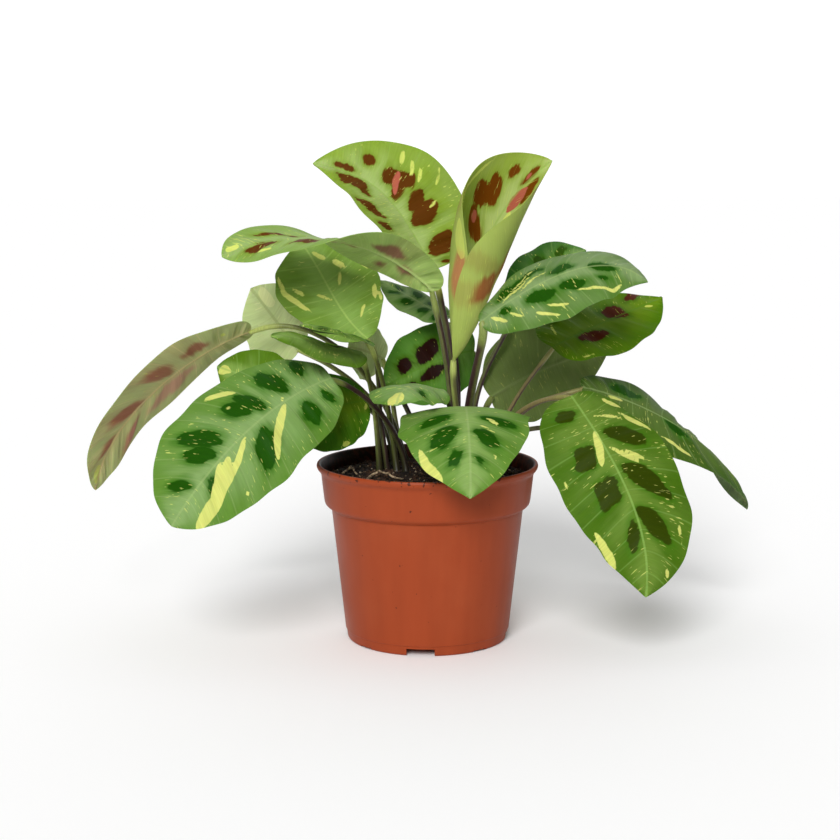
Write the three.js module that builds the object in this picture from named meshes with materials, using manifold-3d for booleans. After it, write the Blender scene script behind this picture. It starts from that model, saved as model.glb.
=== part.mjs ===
// A prayer plant (Maranta) in a round plastic nursery pot, in millimetres, +Z up.
// The pot's axis is the Z axis and the pot stands on z = 0; the side shown first faces -Y.
// Every leaf is one closed blade on one leaf stalk, and every stalk stands in its own hole in the soil.
import * as THREE from 'three';
import Module from 'manifold-3d';

const wasm = await Module();
wasm.setup();

// Driving sizes.
const POT_HEIGHT = 96.5;
const RIM_RADIUS = 60; // a 12 cm pot
const COLLAR_TOP_RADIUS = 57.6;
const COLLAR_FOOT_RADIUS = 56;
const COLLAR_FOOT_Z = 76.5;
const BODY_TOP_RADIUS = 52;
const BODY_TOP_Z = 72.5;
const BODY_FOOT_RADIUS = 44.3;
const FOOT_RADIUS = 43.6;
const WALL = 1.6;
const FLOOR_Z = 5; // the floor stands clear of the ground, on the foot ring
const FOOT_RING = 3.2;
const WIDE_NOTCH = { angle: -95, count: 4, width: 15, height: 4 };
const LOW_NOTCH = { angle: -50, count: 4, width: 9, height: 1 };
const DRAIN = { radius: 4, ring: 27, count: 4 };
const POT_SEGMENTS = 56;

const GAP = 0.3; // clearance between pieces that touch
const SOIL_Z = 90;
const SOIL_BUMP = 1.1;
const SOIL_RINGS = 5;
const SOIL_SEGMENTS = 24;

const BLADE_THICKNESS = 0.8;
const BLADE_ROWS = 11;
const BLADE_COLUMNS = 4; // on each side of the midrib
const STALK_RADIUS = 1.6;
const STALK_SIDES = 6;
const STALK_STEPS = 8;
const STALK_UNDER = 3.2; // the stalk's top end starts this far under the blade's base
const SEATING_STEPS = 8;
const SEATING_REACH = 12;
const EDGE_POINTS = 10;
const HOLE_SIDES = 6;
const ROOT_STEPS = 8;
const ROOT_START = 5; // a dry root starts this far above the soil
const ROOT_REACH = 30;

// The leaves.
// stalk: where it leaves the soil and two places it passes; midrib: base, two thirds, tip.
// half: width of the left and right half, looking from base to tip with the upper side up.
// face: which way the upper side looks, at the base and at the tip.
// fold, curl: degrees each half rises at the midrib and bends on to the margin, base and tip.
const leafDefaults = {
  lobe: [0.07, 0.07],
  point: 0.07,
  fullness: 0.85,
  blunt: 0.2,
  skew: [1, 1],
  ease: [1, 1],
  wave: 1.2,
  waves: 3,
  phase: 0,
  fold: [[0, 0], [0, 0]],
  curl: [[-15, -15], [-15, -15]],
  columns: BLADE_COLUMNS,
  green: 0x5b8a3c,
};
const leaves = {
  far_left: {
    stalk: [[-15, 36, 84], [-21, 38, 116], [-51, 24, 157]],
    midrib: [[-97, 26, 165], [-133, 20, 146], [-165, 12, 116], [-181, 4, 80]],
    half: [24, 19], face: [[-0.2, 0.5, 0.8], [-0.9, 0.5, 0.3]],
    fold: [[0, -15], [0, -15]], curl: [[10, 20], [10, 20]], point: 0.04, blunt: 0, green: 0x7c7a4c,
  },
  front_left: {
    stalk: [[-11, 6, 84], [-19, 4, 113], [-35, -14, 135]],
    midrib: [[-50, -34, 147], [-81, -56, 132], [-107, -74, 108], [-128, -84, 79]],
    half: [31, 41], face: [[-0.25, -0.8, 0.6], [-0.5, -1, 0.25]], lobe: [0.1, 0.1],
    fold: [[-12, -10], [-5, 0]], curl: [[-25, -20], [-20, -10]], fullness: 0.72, blunt: 0,
  },
  upper_left: {
    stalk: [[11, 12, 84], [13, 8, 126], [8, 2, 163]],
    midrib: [[3, -2, 189], [-29, -9, 211], [-67, -16, 218], [-107, -24, 209]],
    half: [24, 25], face: [[0, 0.8, 0.6], [0, -0.55, 0.85]], lobe: [0.07, 0], curl: [[0, 0], [0, 0]],
    fullness: 0.8, point: 0.05, skew: [1.1, 1.55], blunt: 0, green: 0x86a848,
  },
  top: {
    stalk: [[16, 15, 84], [16, 14, 125], [11, 13, 164]],
    midrib: [[4, 8, 200], [-11, 14, 224], [-29, 20, 244], [-62, 24, 256]],
    half: [30, 41], face: [[0.4, -0.84, 0.45], [0.45, -0.84, 0.5]], lobe: [0.05, 0.1],
    fold: [[20, 26], [8, 6]], curl: [[12, 5], [-8, -12]],
    fullness: 0.8, point: 0.14, blunt: 0, skew: [1.15, 1], wave: 1.6, green: 0x8fb24c,
  },
  rolled: {
    stalk: [[13, 6, 84], [17, 4, 108], [15, 0, 130]],
    midrib: [[14, -2, 152], [21, 10, 182], [35, 14, 221], [66, 2, 258]],
    half: [46, 49], face: [[0, -1, 0], [-0.1, -1, 0.3]], lobe: [0, 0],
    fold: [[0, 0], [0, 20]], curl: [[180, 20], [225, 45]], ease: [3.3, 2.6], point: 0.16,
    fullness: 0.8, blunt: 0.1, skew: [1.95, 1.5], wave: 0.3, columns: 7, green: 0x9bbe62,
  },
  upper_right: {
    stalk: [[23, 5, 84], [22, -4, 125], [27, -26, 158]],
    midrib: [[27, -35, 176], [52, -35, 193], [84, -36, 205], [113, -38, 197]],
    half: [32, 26], face: [[0, -0.5, 0.87], [0.25, -0.45, 0.85]], lobe: [0.02, 0.05],
    fold: [[-8, -10], [-8, -10]], curl: [[-15, -20], [-15, -20]], skew: [1.4, 1.15],
  },
  upper_right_back: {
    stalk: [[28, 22, 84], [27, 22, 127], [38, 23, 155]],
    midrib: [[46, 26, 175], [61, 31, 190], [73, 36, 202], [88, 40, 208]],
    half: [23, 23], face: [[0, -0.6, 0.8], [0.1, -0.5, 0.9]], green: 0x3f6c2c,
  },
  mid_right: {
    stalk: [[30, 8, 84], [42, 8, 118], [55, 4, 141]],
    midrib: [[67, 0, 159], [88, 16, 167], [110, 34, 174], [132, 50, 181]],
    half: [28, 24], face: [[-0.1, -0.6, 0.8], [-0.1, -0.6, 0.8]],
    curl: [[-10, -15], [-10, -15]], blunt: 0.4, skew: [0.92, 0.92], green: 0x6f9a34,
  },
  inner_right: {
    stalk: [[26, 30, 84], [26, 30, 95], [29, 28, 112]],
    midrib: [[35, 26, 128], [57, 36, 139], [80, 46, 147], [103, 54, 151]],
    half: [29, 29], face: [[0.2, 0.95, 0.25], [0.2, 0.95, 0.25]], curl: [[10, 10], [10, 10]],
    green: 0x55703f,
  },
  front_right: {
    stalk: [[34, 2, 84], [42, -4, 116], [59, -18, 132]],
    midrib: [[75, -30, 137], [94, -50, 108], [108, -64, 75], [111, -70, 39]],
    half: [35, 32], face: [[0.2, -0.8, 0.6], [0.1, -1, 0.2]], skew: [1, 0.84], wave: 1.8,
    fold: [[-5, -5], [-5, -5]], curl: [[-20, -20], [-20, -20]], green: 0x57883a,
  },
  far_right: {
    stalk: [[36, 16, 84], [48, 10, 118], [67, 4, 131]],
    midrib: [[84, 2, 137], [118, 14, 124], [156, 26, 99], [180, 34, 63]],
    half: [25, 24], face: [[0.2, -0.7, 0.7], [1, 0.4, 0]], blunt: 0,
    fold: [[-5, -5], [-5, -5]], curl: [[-20, -20], [-20, -25]], skew: [1.2, 1.15], green: 0x4b7a3c,
  },
  front_centre: {
    stalk: [[27, -6, 84], [24, -7, 103], [21, -12, 117]],
    midrib: [[20, -14, 125], [20, -44, 131], [21, -70, 117], [21, -84, 93]],
    half: [34, 36], face: [[0, -0.35, 1], [0, -1, 0.2]], lobe: [0.1, 0.1], blunt: 0.35, wave: 1.6,
    fold: [[-3, -3], [-3, -3]], curl: [[-12, -25], [-12, -25]], skew: [0.7, 0.84],
  },
  small_centre: {
    stalk: [[6, 0, 84], [12, -6, 109], [12, -12, 127]],
    midrib: [[9, -16, 138], [-3, -26, 141], [-12, -37, 141], [-16, -46, 134]],
    half: [17, 26], face: [[-0.1, -0.3, 1], [-0.3, -0.6, 0.7]],
    fold: [[-5, -5], [-5, -5]], curl: [[-25, -25], [-25, -25]], fullness: 0.8, green: 0x5d9150,
  },
  inner_centre: {
    stalk: [[19, 34, 84], [22, 34, 103], [25, 34, 128]],
    midrib: [[26, 32, 153], [10, 34, 149], [-8, 36, 141], [-24, 38, 132]],
    half: [23, 23], face: [[0, -0.9, 0.4], [0, -0.9, 0.4]], green: 0x3f7022,
  },
  mid_left: {
    stalk: [[-25, 20, 84], [-26, 18, 116], [-27, 6, 146]],
    midrib: [[-32, -4, 164], [-46, 7, 178], [-57, 20, 195], [-70, 32, 214]],
    half: [27, 28], face: [[-0.1, -0.8, 0.7], [-0.1, -0.7, 0.8]], lobe: [0, 0.07],
    fold: [[5, 5], [5, 5]], skew: [1.5, 1.2], blunt: 0, green: 0x4f7f3a,
  },
  pale_left: {
    stalk: [[-20, 31, 84], [-24, 33, 115], [-46, 34, 139]],
    midrib: [[-71, 34, 153], [-79, 40, 162], [-88, 46, 173], [-99, 52, 186]],
    half: [23, 23], face: [[0.2, 0.9, 0.2], [0.2, 0.9, 0.2]], green: 0x9bb372,
  },
  thin_upper: {
    stalk: [[-16, 10, 84], [-21, 8, 122], [-26, -10, 149]],
    midrib: [[-31, -22, 165], [-43, -32, 170], [-53, -42, 174], [-64, -52, 176]],
    half: [18, 18], face: [[0, -0.1, 1], [0, -0.1, 1]], wave: 0.6, green: 0x5b8a3c,
  },
  thin_lower: {
    stalk: [[-26, 7, 84], [-28, 4, 119], [-31, -6, 141]],
    midrib: [[-34, -20, 158], [-50, -26, 161], [-66, -32, 167], [-81, -38, 169]],
    half: [20, 20], face: [[0, -0.25, 1], [0, -0.2, 1]], wave: 0.6, green: 0x5b8a3c,
  },
  low_left: {
    stalk: [[-20, 24, 84], [-23, 24, 116], [-48, 20, 126]],
    midrib: [[-70, 14, 128], [-85, 18, 134], [-100, 22, 140], [-116, 26, 145]],
    half: [19, 19], face: [[0, -0.9, 0.3], [0, -0.9, 0.3]], green: 0x55802e,
  },
  inner_left: {
    stalk: [[-21, 13, 84], [-24, 12, 106], [-27, 11, 121]],
    midrib: [[-33, 6, 129], [-50, -2, 127], [-65, -10, 123], [-82, -18, 117]],
    half: [25, 25], face: [[-0.2, -0.8, 0.5], [-0.2, -0.8, 0.5]], green: 0x3c6a1e,
  },
  thin_centre: {
    stalk: [[12, 22, 84], [17, 22, 121], [15, 24, 154]],
    midrib: [[10, 28, 171], [-1, 34, 178], [-13, 40, 184], [-26, 45, 191]],
    half: [15, 15], face: [[0, -0.25, 1], [0, -0.25, 1]], wave: 0.6, green: 0x4c7b46,
  },
  pale_inner: {
    stalk: [[-9, 44, 84], [-17, 49, 106], [-20, 53, 125]],
    midrib: [[-24, 51, 146], [-31, 53, 149], [-38, 55, 151], [-45, 57, 152]],
    half: [17, 17], face: [[0.2, 0.9, 0.3], [0.2, 0.9, 0.3]], green: 0x86a060,
  },
  back_left: {
    stalk: [[-20, 42, 84], [-24, 48, 107], [-38, 50, 121]],
    midrib: [[-55, 50, 123], [-77, 62, 110], [-98, 74, 91], [-118, 80, 63]],
    half: [24, 24], face: [[-0.3, 0.5, 0.9], [-0.4, 0.9, 0.3]], green: 0x4f8038,
  },
  back_right: {
    stalk: [[34, 30, 84], [43, 34, 103], [63, 37, 109]],
    midrib: [[83, 42, 109], [100, 58, 91], [116, 70, 65], [126, 78, 31]],
    half: [24, 24], face: [[0.3, 0.5, 0.9], [0.3, 0.95, 0.3]], green: 0x4f8038,
  },
  back_centre: {
    stalk: [[20, 40, 84], [19, 47, 103], [18, 53, 105]],
    midrib: [[16, 59, 104], [19, 72, 101], [22, 81, 88], [23, 84, 66]],
    half: [22, 22], face: [[0, 0.4, 1], [0, 1, 0.2]], fullness: 0.75, green: 0x5d9150,
  },
  back_upper_left: {
    stalk: [[-2, 42, 84], [-9, 51, 112], [-24, 60, 140]],
    midrib: [[-35, 60, 164], [-47, 65, 176], [-58, 70, 188], [-67, 75, 199]],
    half: [20, 20], face: [[-0.2, 0.9, 0.35], [-0.2, 0.8, 0.5]], green: 0x6f9a44,
  },
  back_upper_right: {
    stalk: [[26, 36, 84], [34, 42, 101], [41, 49, 117]],
    midrib: [[48, 52, 136], [63, 62, 151], [78, 71, 165], [92, 80, 176]],
    half: [21, 21], face: [[0.2, 0.9, 0.35], [0.2, 0.8, 0.5]], green: 0x6f9a44,
  },
};

// Dry roots lying on the soil: the way each one runs in plan.
const dryRoots = {
  front: { plan: [[-32, -18], [-26, -10], [-20, -19], [-13, -16]], radius: 0.8, rise: 3 },
  left: { plan: [[-46, 2], [-42, 10], [-40, 2], [-36, -6]], radius: 0.7, rise: 2.4 },
};

// Small helpers.
const vec = (p) => new THREE.Vector3(p[0], p[1], p[2]);
const mix = (a, b, t) => a + (b - a) * t;
const radians = THREE.MathUtils.degToRad;

// The cubic through four points at t = 0, 1/3, 2/3 and 1, and its direction.
function through(points, t) {
  const a = t - 1 / 3;
  const b = t - 2 / 3;
  const c = t - 1;
  const w = [-4.5 * a * b * c, 13.5 * t * b * c, -13.5 * t * a * c, 4.5 * t * a * b];
  const d = [
    -4.5 * (b * c + a * c + a * b),
    13.5 * (b * c + t * c + t * b),
    -13.5 * (a * c + t * c + t * a),
    4.5 * (a * b + t * b + t * a),
  ];
  const at = new THREE.Vector3();
  const slope = new THREE.Vector3();
  points.forEach((p, i) => {
    at.addScaledVector(p, w[i]);
    slope.addScaledVector(p, d[i]);
  });
  return { at, slope: slope.normalize() };
}

function solid(positions, triangles) {
  const geometry = new THREE.BufferGeometry();
  const numbers = positions.flatMap((p) => [p.x, p.y, p.z]);
  geometry.setAttribute('position', new THREE.Float32BufferAttribute(numbers, 3));
  geometry.setIndex(triangles.flat());
  geometry.computeVertexNormals();
  return geometry;
}

function mesh(name, geometry, color, roughness) {
  const material = new THREE.MeshStandardMaterial({ color, roughness, metalness: 0 });
  const node = new THREE.Mesh(geometry, material);
  node.name = name;
  return node;
}

function toManifold(geometry) {
  const seen = new Map();
  const points = [];
  const position = geometry.getAttribute('position');
  const id = (i) => {
    const p = [position.getX(i), position.getY(i), position.getZ(i)];
    const key = p.map((v) => Math.round(v * 1e4)).join();
    if (!seen.has(key)) {
      seen.set(key, points.length / 3);
      points.push(...p);
    }
    return seen.get(key);
  };
  const order = geometry.index ? Array.from(geometry.index.array) : [...Array(position.count).keys()];
  const triVerts = [];
  for (let i = 0; i < order.length; i += 3) {
    const t = [id(order[i]), id(order[i + 1]), id(order[i + 2])];
    if (new Set(t).size === 3) triVerts.push(...t);
  }
  return new wasm.Manifold(new wasm.Mesh({
    numProp: 3,
    vertProperties: Float32Array.from(points),
    triVerts: Uint32Array.from(triVerts),
  }));
}

function fromManifold(body) {
  const out = body.getMesh();
  const geometry = new THREE.BufferGeometry();
  geometry.setAttribute('position', new THREE.BufferAttribute(Float32Array.from(out.vertProperties), 3));
  geometry.setIndex(new THREE.BufferAttribute(Uint32Array.from(out.triVerts), 1));
  geometry.computeVertexNormals();
  return geometry;
}

// A closed tube along a path of points, with its own radius at each of them.
function tube(path, radii, sides) {
  const positions = [];
  const triangles = [];
  const last = path.length - 1;
  let across = new THREE.Vector3(1, 0, 0);
  path.forEach((p, i) => {
    const along = path[Math.min(i + 1, last)].clone().sub(path[Math.max(i - 1, 0)]).normalize();
    across = across.clone().addScaledVector(along, -across.dot(along)).normalize();
    const up = new THREE.Vector3().crossVectors(along, across);
    for (let k = 0; k < sides; k += 1) {
      const a = (k / sides) * 2 * Math.PI;
      const point = p.clone().addScaledVector(across, radii[i] * Math.cos(a));
      positions.push(point.addScaledVector(up, radii[i] * Math.sin(a)));
    }
  });
  for (let i = 0; i < last; i += 1) {
    for (let k = 0; k < sides; k += 1) {
      const n = (k + 1) % sides;
      const [a, b, c, d] = [i * sides + k, i * sides + n, (i + 1) * sides + n, (i + 1) * sides + k];
      triangles.push([a, b, c], [a, c, d]);
    }
  }
  for (let k = 1; k < sides - 1; k += 1) {
    triangles.push([0, k + 1, k]);
    triangles.push([last * sides, last * sides + k, last * sides + k + 1]);
  }
  return solid(positions, triangles);
}

// Leaf blade.
// Row t of the blade follows one side vein: it leaves the midrib at `stem`, reaches the margin
// `along` the leaf and `across` it, and both halves bend up or down on the way.
function bladePoint(leaf, points, t, s) {
  const side = s > 0 ? 1 : 0;
  const r = Math.abs(s);
  const along = ((1 - leaf.point) * (1 - Math.cos(Math.PI * t))) / 2
    + leaf.point * t ** 9 - leaf.lobe[side] * 6 * t * (1 - t) ** 7;
  const swell = Math.max(Math.sin(Math.PI * t ** leaf.skew[side]), 0) ** leaf.fullness;
  const across = swell * (1 - leaf.blunt * t ** 6);
  const stem = t ** 1.35;
  const station = stem + (along - stem) * r ** 1.4;
  const { at, slope } = through(points, station);
  const share = THREE.MathUtils.clamp(station, 0, 1);
  const face = vec(leaf.face[0]).lerp(vec(leaf.face[1]), share);
  const up = face.addScaledVector(slope, -face.dot(slope)).normalize();
  const out = new THREE.Vector3().crossVectors(slope, up);
  const eased = share ** leaf.ease[side];
  const fold = radians(mix(leaf.fold[side][0], leaf.fold[side][1], eased));
  const bend = radians(mix(leaf.curl[side][0], leaf.curl[side][1], eased)) || 1e-3;
  const half = across * leaf.half[side];
  const reach = (half * (Math.sin(fold + bend * r) - Math.sin(fold))) / bend;
  const rise = (half * (Math.cos(fold) - Math.cos(fold + bend * r))) / bend;
  const turn = 2 * Math.PI * (leaf.waves * t + leaf.phase + 0.37 * side);
  const ripple = leaf.wave * Math.sin(turn) * r ** 3 * Math.sin(Math.PI * t);
  return at.addScaledVector(out, reach * Math.sign(s)).addScaledVector(up, rise + ripple);
}

function blade(leaf) {
  const points = leaf.midrib.map(vec);
  const rows = BLADE_ROWS;
  const wide = 2 * leaf.columns + 1;
  const grid = [];
  for (let i = 0; i <= rows; i += 1) {
    grid.push([...Array(wide).keys()].map((j) => bladePoint(leaf, points, i / rows, j / leaf.columns - 1)));
  }
  const normalAt = (i, j) => {
    const a = grid[Math.min(i + 1, rows)][j].clone().sub(grid[Math.max(i - 1, 0)][j]);
    const b = grid[i][Math.min(j + 1, wide - 1)].clone().sub(grid[i][Math.max(j - 1, 0)]);
    return new THREE.Vector3().crossVectors(b, a).normalize();
  };
  const middle = leaf.columns;
  const positions = [];
  const index = (i, j, under) => {
    const full = (rows - 1) * wide + 2;
    const place = i === 0 ? 0 : i === rows ? full - 1 : 1 + (i - 1) * wide + j;
    return place + (under ? full : 0);
  };
  [1, -1].forEach((sign) => {
    for (let i = 0; i <= rows; i += 1) {
      const ends = i === 0 || i === rows;
      const columns = ends ? [middle] : [...Array(wide).keys()];
      const row = i === 0 ? 1 : i === rows ? rows - 1 : i;
      columns.forEach((j) => {
        const normal = normalAt(ends ? row : i, j);
        positions.push(grid[i][j].clone().addScaledVector(normal, (sign * BLADE_THICKNESS) / 2));
      });
    }
  });
  const triangles = [];
  const face = (a, b, c) => {
    if (a[0] === b[0] && (a[0] === 0 || a[0] === rows)) return;
    if (b[0] === c[0] && (b[0] === 0 || b[0] === rows)) return;
    triangles.push([index(...a, false), index(...b, false), index(...c, false)]);
    triangles.push([index(...a, true), index(...c, true), index(...b, true)]);
  };
  for (let i = 0; i < rows; i += 1) {
    for (let j = 0; j < wide - 1; j += 1) {
      face([i, j], [i, j + 1], [i + 1, j + 1]);
      face([i + 1, j + 1], [i + 1, j], [i, j]);
    }
    [[0, 1], [wide - 1, -1]].forEach(([j, sign]) => {
      const [a, b] = [index(i, j, false), index(i + 1, j, false)];
      const [c, d] = [index(i, j, true), index(i + 1, j, true)];
      triangles.push(...(sign > 0 ? [[a, b, d], [a, d, c]] : [[b, a, d], [d, a, c]]));
    });
  }
  return solid(positions, triangles);
}

// Leaf stalk.
function stalkPath(leaf, lift) {
  const points = leaf.midrib.map(vec);
  const { at, slope } = through(points, 0);
  const face = vec(leaf.face[0]);
  const up = face.addScaledVector(slope, -face.dot(slope)).normalize();
  const end = at.clone().addScaledVector(up, lift - STALK_UNDER).addScaledVector(slope, -0.6);
  const controls = [...leaf.stalk.map(vec), end];
  return [...Array(STALK_STEPS + 1).keys()].map((i) => through(controls, i / STALK_STEPS).at);
}

// The stalk thins upwards and swells at the joint under the blade.
const stalkRadii = () => [...Array(STALK_STEPS + 1).keys()].map((i) => {
  const t = i / STALK_STEPS;
  return STALK_RADIUS * (1 - 0.22 * t) + (t > 0.8 && t < 1 ? 0.2 : 0);
});

// The faces of a geometry that come within `reach` of a place.
function facesNear(geometry, place, reach) {
  const position = geometry.getAttribute('position');
  const order = geometry.index.array;
  const nearest = new THREE.Vector3();
  const faces = [];
  for (let i = 0; i < order.length; i += 3) {
    const corners = [0, 1, 2].map((k) => new THREE.Vector3().fromBufferAttribute(position, order[i + k]));
    const face = new THREE.Triangle(...corners);
    face.closestPointToPoint(place, nearest);
    if (nearest.distanceTo(place) < reach) faces.push(face);
  }
  return faces;
}

function edgePoints(faces) {
  const points = [];
  faces.forEach(({ a, b, c }) => {
    [[a, b], [b, c], [c, a]].forEach(([from, to]) => {
      for (let k = 0; k < EDGE_POINTS; k += 1) points.push(from.clone().lerp(to, k / EDGE_POINTS));
    });
  });
  return points;
}

function leastDistance(points, faces) {
  const nearest = new THREE.Vector3();
  let least = Infinity;
  points.forEach((point) => {
    faces.forEach((face) => {
      face.closestPointToPoint(point, nearest);
      least = Math.min(least, nearest.distanceTo(point));
    });
  });
  return least;
}

// The stalk's top end is brought up under the blade until only the clearance is left.
function seatedStalk(leaf, bladeGeometry) {
  const base = vec(leaf.midrib[0]);
  const bladeFaces = facesNear(bladeGeometry, base, SEATING_REACH);
  const bladePoints = edgePoints(bladeFaces);
  let lift = 0;
  let path = stalkPath(leaf, lift);
  for (let i = 0; i < SEATING_STEPS; i += 1) {
    const stalkFaces = facesNear(tube(path, stalkRadii(), STALK_SIDES), base, SEATING_REACH);
    const gap = Math.min(
      leastDistance(bladePoints, stalkFaces),
      leastDistance(edgePoints(stalkFaces), bladeFaces),
    );
    lift += gap - GAP;
    path = stalkPath(leaf, lift);
  }
  return path;
}

// Pot.
function pot() {
  const inner = (outer) => outer - WALL;
  const profile = [
    [0, FLOOR_Z - WALL],
    [FOOT_RADIUS - FOOT_RING, FLOOR_Z - WALL],
    [FOOT_RADIUS - FOOT_RING + 0.6, 0],
    [FOOT_RADIUS - 0.8, 0],
    [FOOT_RADIUS, 0.8],
    [BODY_FOOT_RADIUS, FLOOR_Z + 0.6],
    [BODY_FOOT_RADIUS + 0.4, FLOOR_Z + 1],
    [BODY_TOP_RADIUS, BODY_TOP_Z],
    [BODY_TOP_RADIUS + 2, BODY_TOP_Z + 0.8],
    [COLLAR_FOOT_RADIUS - 0.7, COLLAR_FOOT_Z - 1.8],
    [COLLAR_FOOT_RADIUS, COLLAR_FOOT_Z],
    [COLLAR_TOP_RADIUS, POT_HEIGHT - 5],
    [RIM_RADIUS - 0.4, POT_HEIGHT - 2.6],
    [RIM_RADIUS, POT_HEIGHT - 1.4],
    [RIM_RADIUS - 0.3, POT_HEIGHT - 0.3],
    [RIM_RADIUS - 1.2, POT_HEIGHT],
    [RIM_RADIUS - 2.2, POT_HEIGHT - 0.5],
    [inner(COLLAR_TOP_RADIUS), POT_HEIGHT - 5],
    [inner(COLLAR_FOOT_RADIUS), COLLAR_FOOT_Z + 0.4],
    [inner(BODY_TOP_RADIUS), COLLAR_FOOT_Z - 2],
    [inner(BODY_FOOT_RADIUS), FLOOR_Z + 1.2],
    [inner(BODY_FOOT_RADIUS) - 1.2, FLOOR_Z],
    [0, FLOOR_Z],
  ].map(([r, z]) => new THREE.Vector2(r, z));
  const turned = new THREE.LatheGeometry(profile, POT_SEGMENTS);
  turned.rotateX(Math.PI / 2);
  let body = toManifold(turned);
  [WIDE_NOTCH, LOW_NOTCH].forEach((notch) => {
    const shape = new THREE.Shape([
      new THREE.Vector2(-notch.width / 2 - 0.4, -1),
      new THREE.Vector2(notch.width / 2 + 0.4, -1),
      new THREE.Vector2(notch.width / 2 - 1.2, notch.height),
      new THREE.Vector2(-notch.width / 2 + 1.2, notch.height),
    ]);
    for (let i = 0; i < notch.count; i += 1) {
      const cut = new THREE.ExtrudeGeometry(shape, { depth: 12, bevelEnabled: false });
      cut.rotateX(Math.PI / 2);
      cut.rotateZ(Math.PI / 2);
      cut.translate(FOOT_RADIUS - 7, 0, 0);
      cut.rotateZ(radians(notch.angle + (360 / notch.count) * i));
      body = body.subtract(toManifold(cut));
    }
  });
  for (let i = 0; i < DRAIN.count; i += 1) {
    const hole = new THREE.CylinderGeometry(DRAIN.radius, DRAIN.radius, 10, 16);
    hole.rotateX(Math.PI / 2);
    const a = radians(45 + (360 / DRAIN.count) * i);
    hole.translate(DRAIN.ring * Math.cos(a), DRAIN.ring * Math.sin(a), FLOOR_Z);
    body = body.subtract(toManifold(hole));
  }
  return fromManifold(body);
}

// Soil.
// Clods: a few waves of different length, the same every time; highest round the stalks.
function soilTop(x, y) {
  const broad = Math.sin(0.41 * x + 1.3) * Math.cos(0.37 * y - 0.6);
  const clods = broad + 0.7 * Math.sin(0.83 * x - 0.69 * y + 2.1);
  const crown = 1.6 * Math.exp(-((x - 5) ** 2 + (y - 15) ** 2) / 900);
  return SOIL_Z - 1.6 + crown + (SOIL_BUMP * clods) / 1.7;
}

function innerRadius(z) {
  const foot = BODY_FOOT_RADIUS - WALL;
  const top = BODY_TOP_RADIUS - WALL;
  const bodyEnd = COLLAR_FOOT_Z - 2;
  if (z <= bodyEnd) return mix(foot, top, (z - FLOOR_Z - 1.2) / (bodyEnd - FLOOR_Z - 1.2));
  return COLLAR_FOOT_RADIUS - WALL;
}

function soil(stalks) {
  const positions = [new THREE.Vector3(0, 0, soilTop(0, 0))];
  const rim = COLLAR_FOOT_RADIUS - WALL - GAP - 0.1;
  const spot = (radius, k, z) => {
    const a = (k / SOIL_SEGMENTS) * 2 * Math.PI;
    const [x, y] = [radius * Math.cos(a), radius * Math.sin(a)];
    return new THREE.Vector3(x, y, z ?? soilTop(x, y));
  };
  for (let i = 1; i <= SOIL_RINGS; i += 1) {
    for (let k = 0; k < SOIL_SEGMENTS; k += 1) positions.push(spot((rim * i) / SOIL_RINGS, k));
  }
  const slack = GAP / Math.cos(Math.PI / POT_SEGMENTS) + 0.1;
  const walls = [
    [rim, COLLAR_FOOT_Z + 0.9],
    [BODY_TOP_RADIUS - WALL - slack, COLLAR_FOOT_Z - 1.2],
    [innerRadius(FLOOR_Z + 2.5) - slack - 0.1, FLOOR_Z + 2.5],
    [innerRadius(FLOOR_Z + 2.5) - slack - 2, FLOOR_Z + GAP],
  ];
  walls.forEach(([radius, z]) => {
    for (let k = 0; k < SOIL_SEGMENTS; k += 1) positions.push(spot(radius, k, z));
  });
  positions.push(new THREE.Vector3(0, 0, FLOOR_Z + GAP));
  const rings = SOIL_RINGS + walls.length;
  const at = (i, k) => 1 + (i - 1) * SOIL_SEGMENTS + (k % SOIL_SEGMENTS);
  const triangles = [];
  for (let k = 0; k < SOIL_SEGMENTS; k += 1) {
    triangles.push([0, at(1, k), at(1, k + 1)]);
    for (let i = 1; i < rings; i += 1) {
      triangles.push([at(i, k), at(i + 1, k), at(i + 1, k + 1)]);
      triangles.push([at(i, k), at(i + 1, k + 1), at(i, k + 1)]);
    }
    triangles.push([at(rings, k), positions.length - 1, at(rings, k + 1)]);
  }
  let body = toManifold(solid(positions, triangles));
  stalks.forEach((path) => {
    const along = path[1].clone().sub(path[0]).normalize();
    const line = [path[0].clone().addScaledVector(along, -0.5), path[0], path[1], path[2], path[3]];
    const wider = (STALK_RADIUS + GAP) / Math.cos(Math.PI / HOLE_SIDES) + 0.1;
    body = body.subtract(toManifold(tube(line, line.map(() => wider), HOLE_SIDES)));
  });
  return fromManifold(body);
}

function dryRoot(root, lift) {
  const plan = root.plan.map(([x, y]) => new THREE.Vector3(x, y, 0));
  const path = [...Array(ROOT_STEPS + 1).keys()].map((i) => {
    const t = i / ROOT_STEPS;
    const p = through(plan, t).at;
    return new THREE.Vector3(p.x, p.y, soilTop(p.x, p.y) + lift + root.rise * Math.sin(Math.PI * t));
  });
  return tube(path, path.map((p, i) => root.radius * (1 - (0.4 * i) / ROOT_STEPS)), 5);
}

// A dry root is let down until only the clearance is left between its ends and the soil.
function seatedDryRoot(root, soilGeometry) {
  const [x, y] = root.plan[1];
  const ground = facesNear(soilGeometry, new THREE.Vector3(x, y, SOIL_Z), ROOT_REACH);
  let lift = ROOT_START;
  for (let i = 0; i < SEATING_STEPS; i += 1) {
    const rootFaces = facesNear(dryRoot(root, lift), new THREE.Vector3(x, y, SOIL_Z), ROOT_REACH);
    lift -= Math.min(
      leastDistance(edgePoints(ground), rootFaces),
      leastDistance(edgePoints(rootFaces), ground),
    ) - GAP;
  }
  return dryRoot(root, lift);
}

// The whole plant.
const plant = new THREE.Group();
plant.name = 'potted_prayer_plant';
plant.add(mesh('pot', pot(), 0xa6472f, 0.45));

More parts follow.
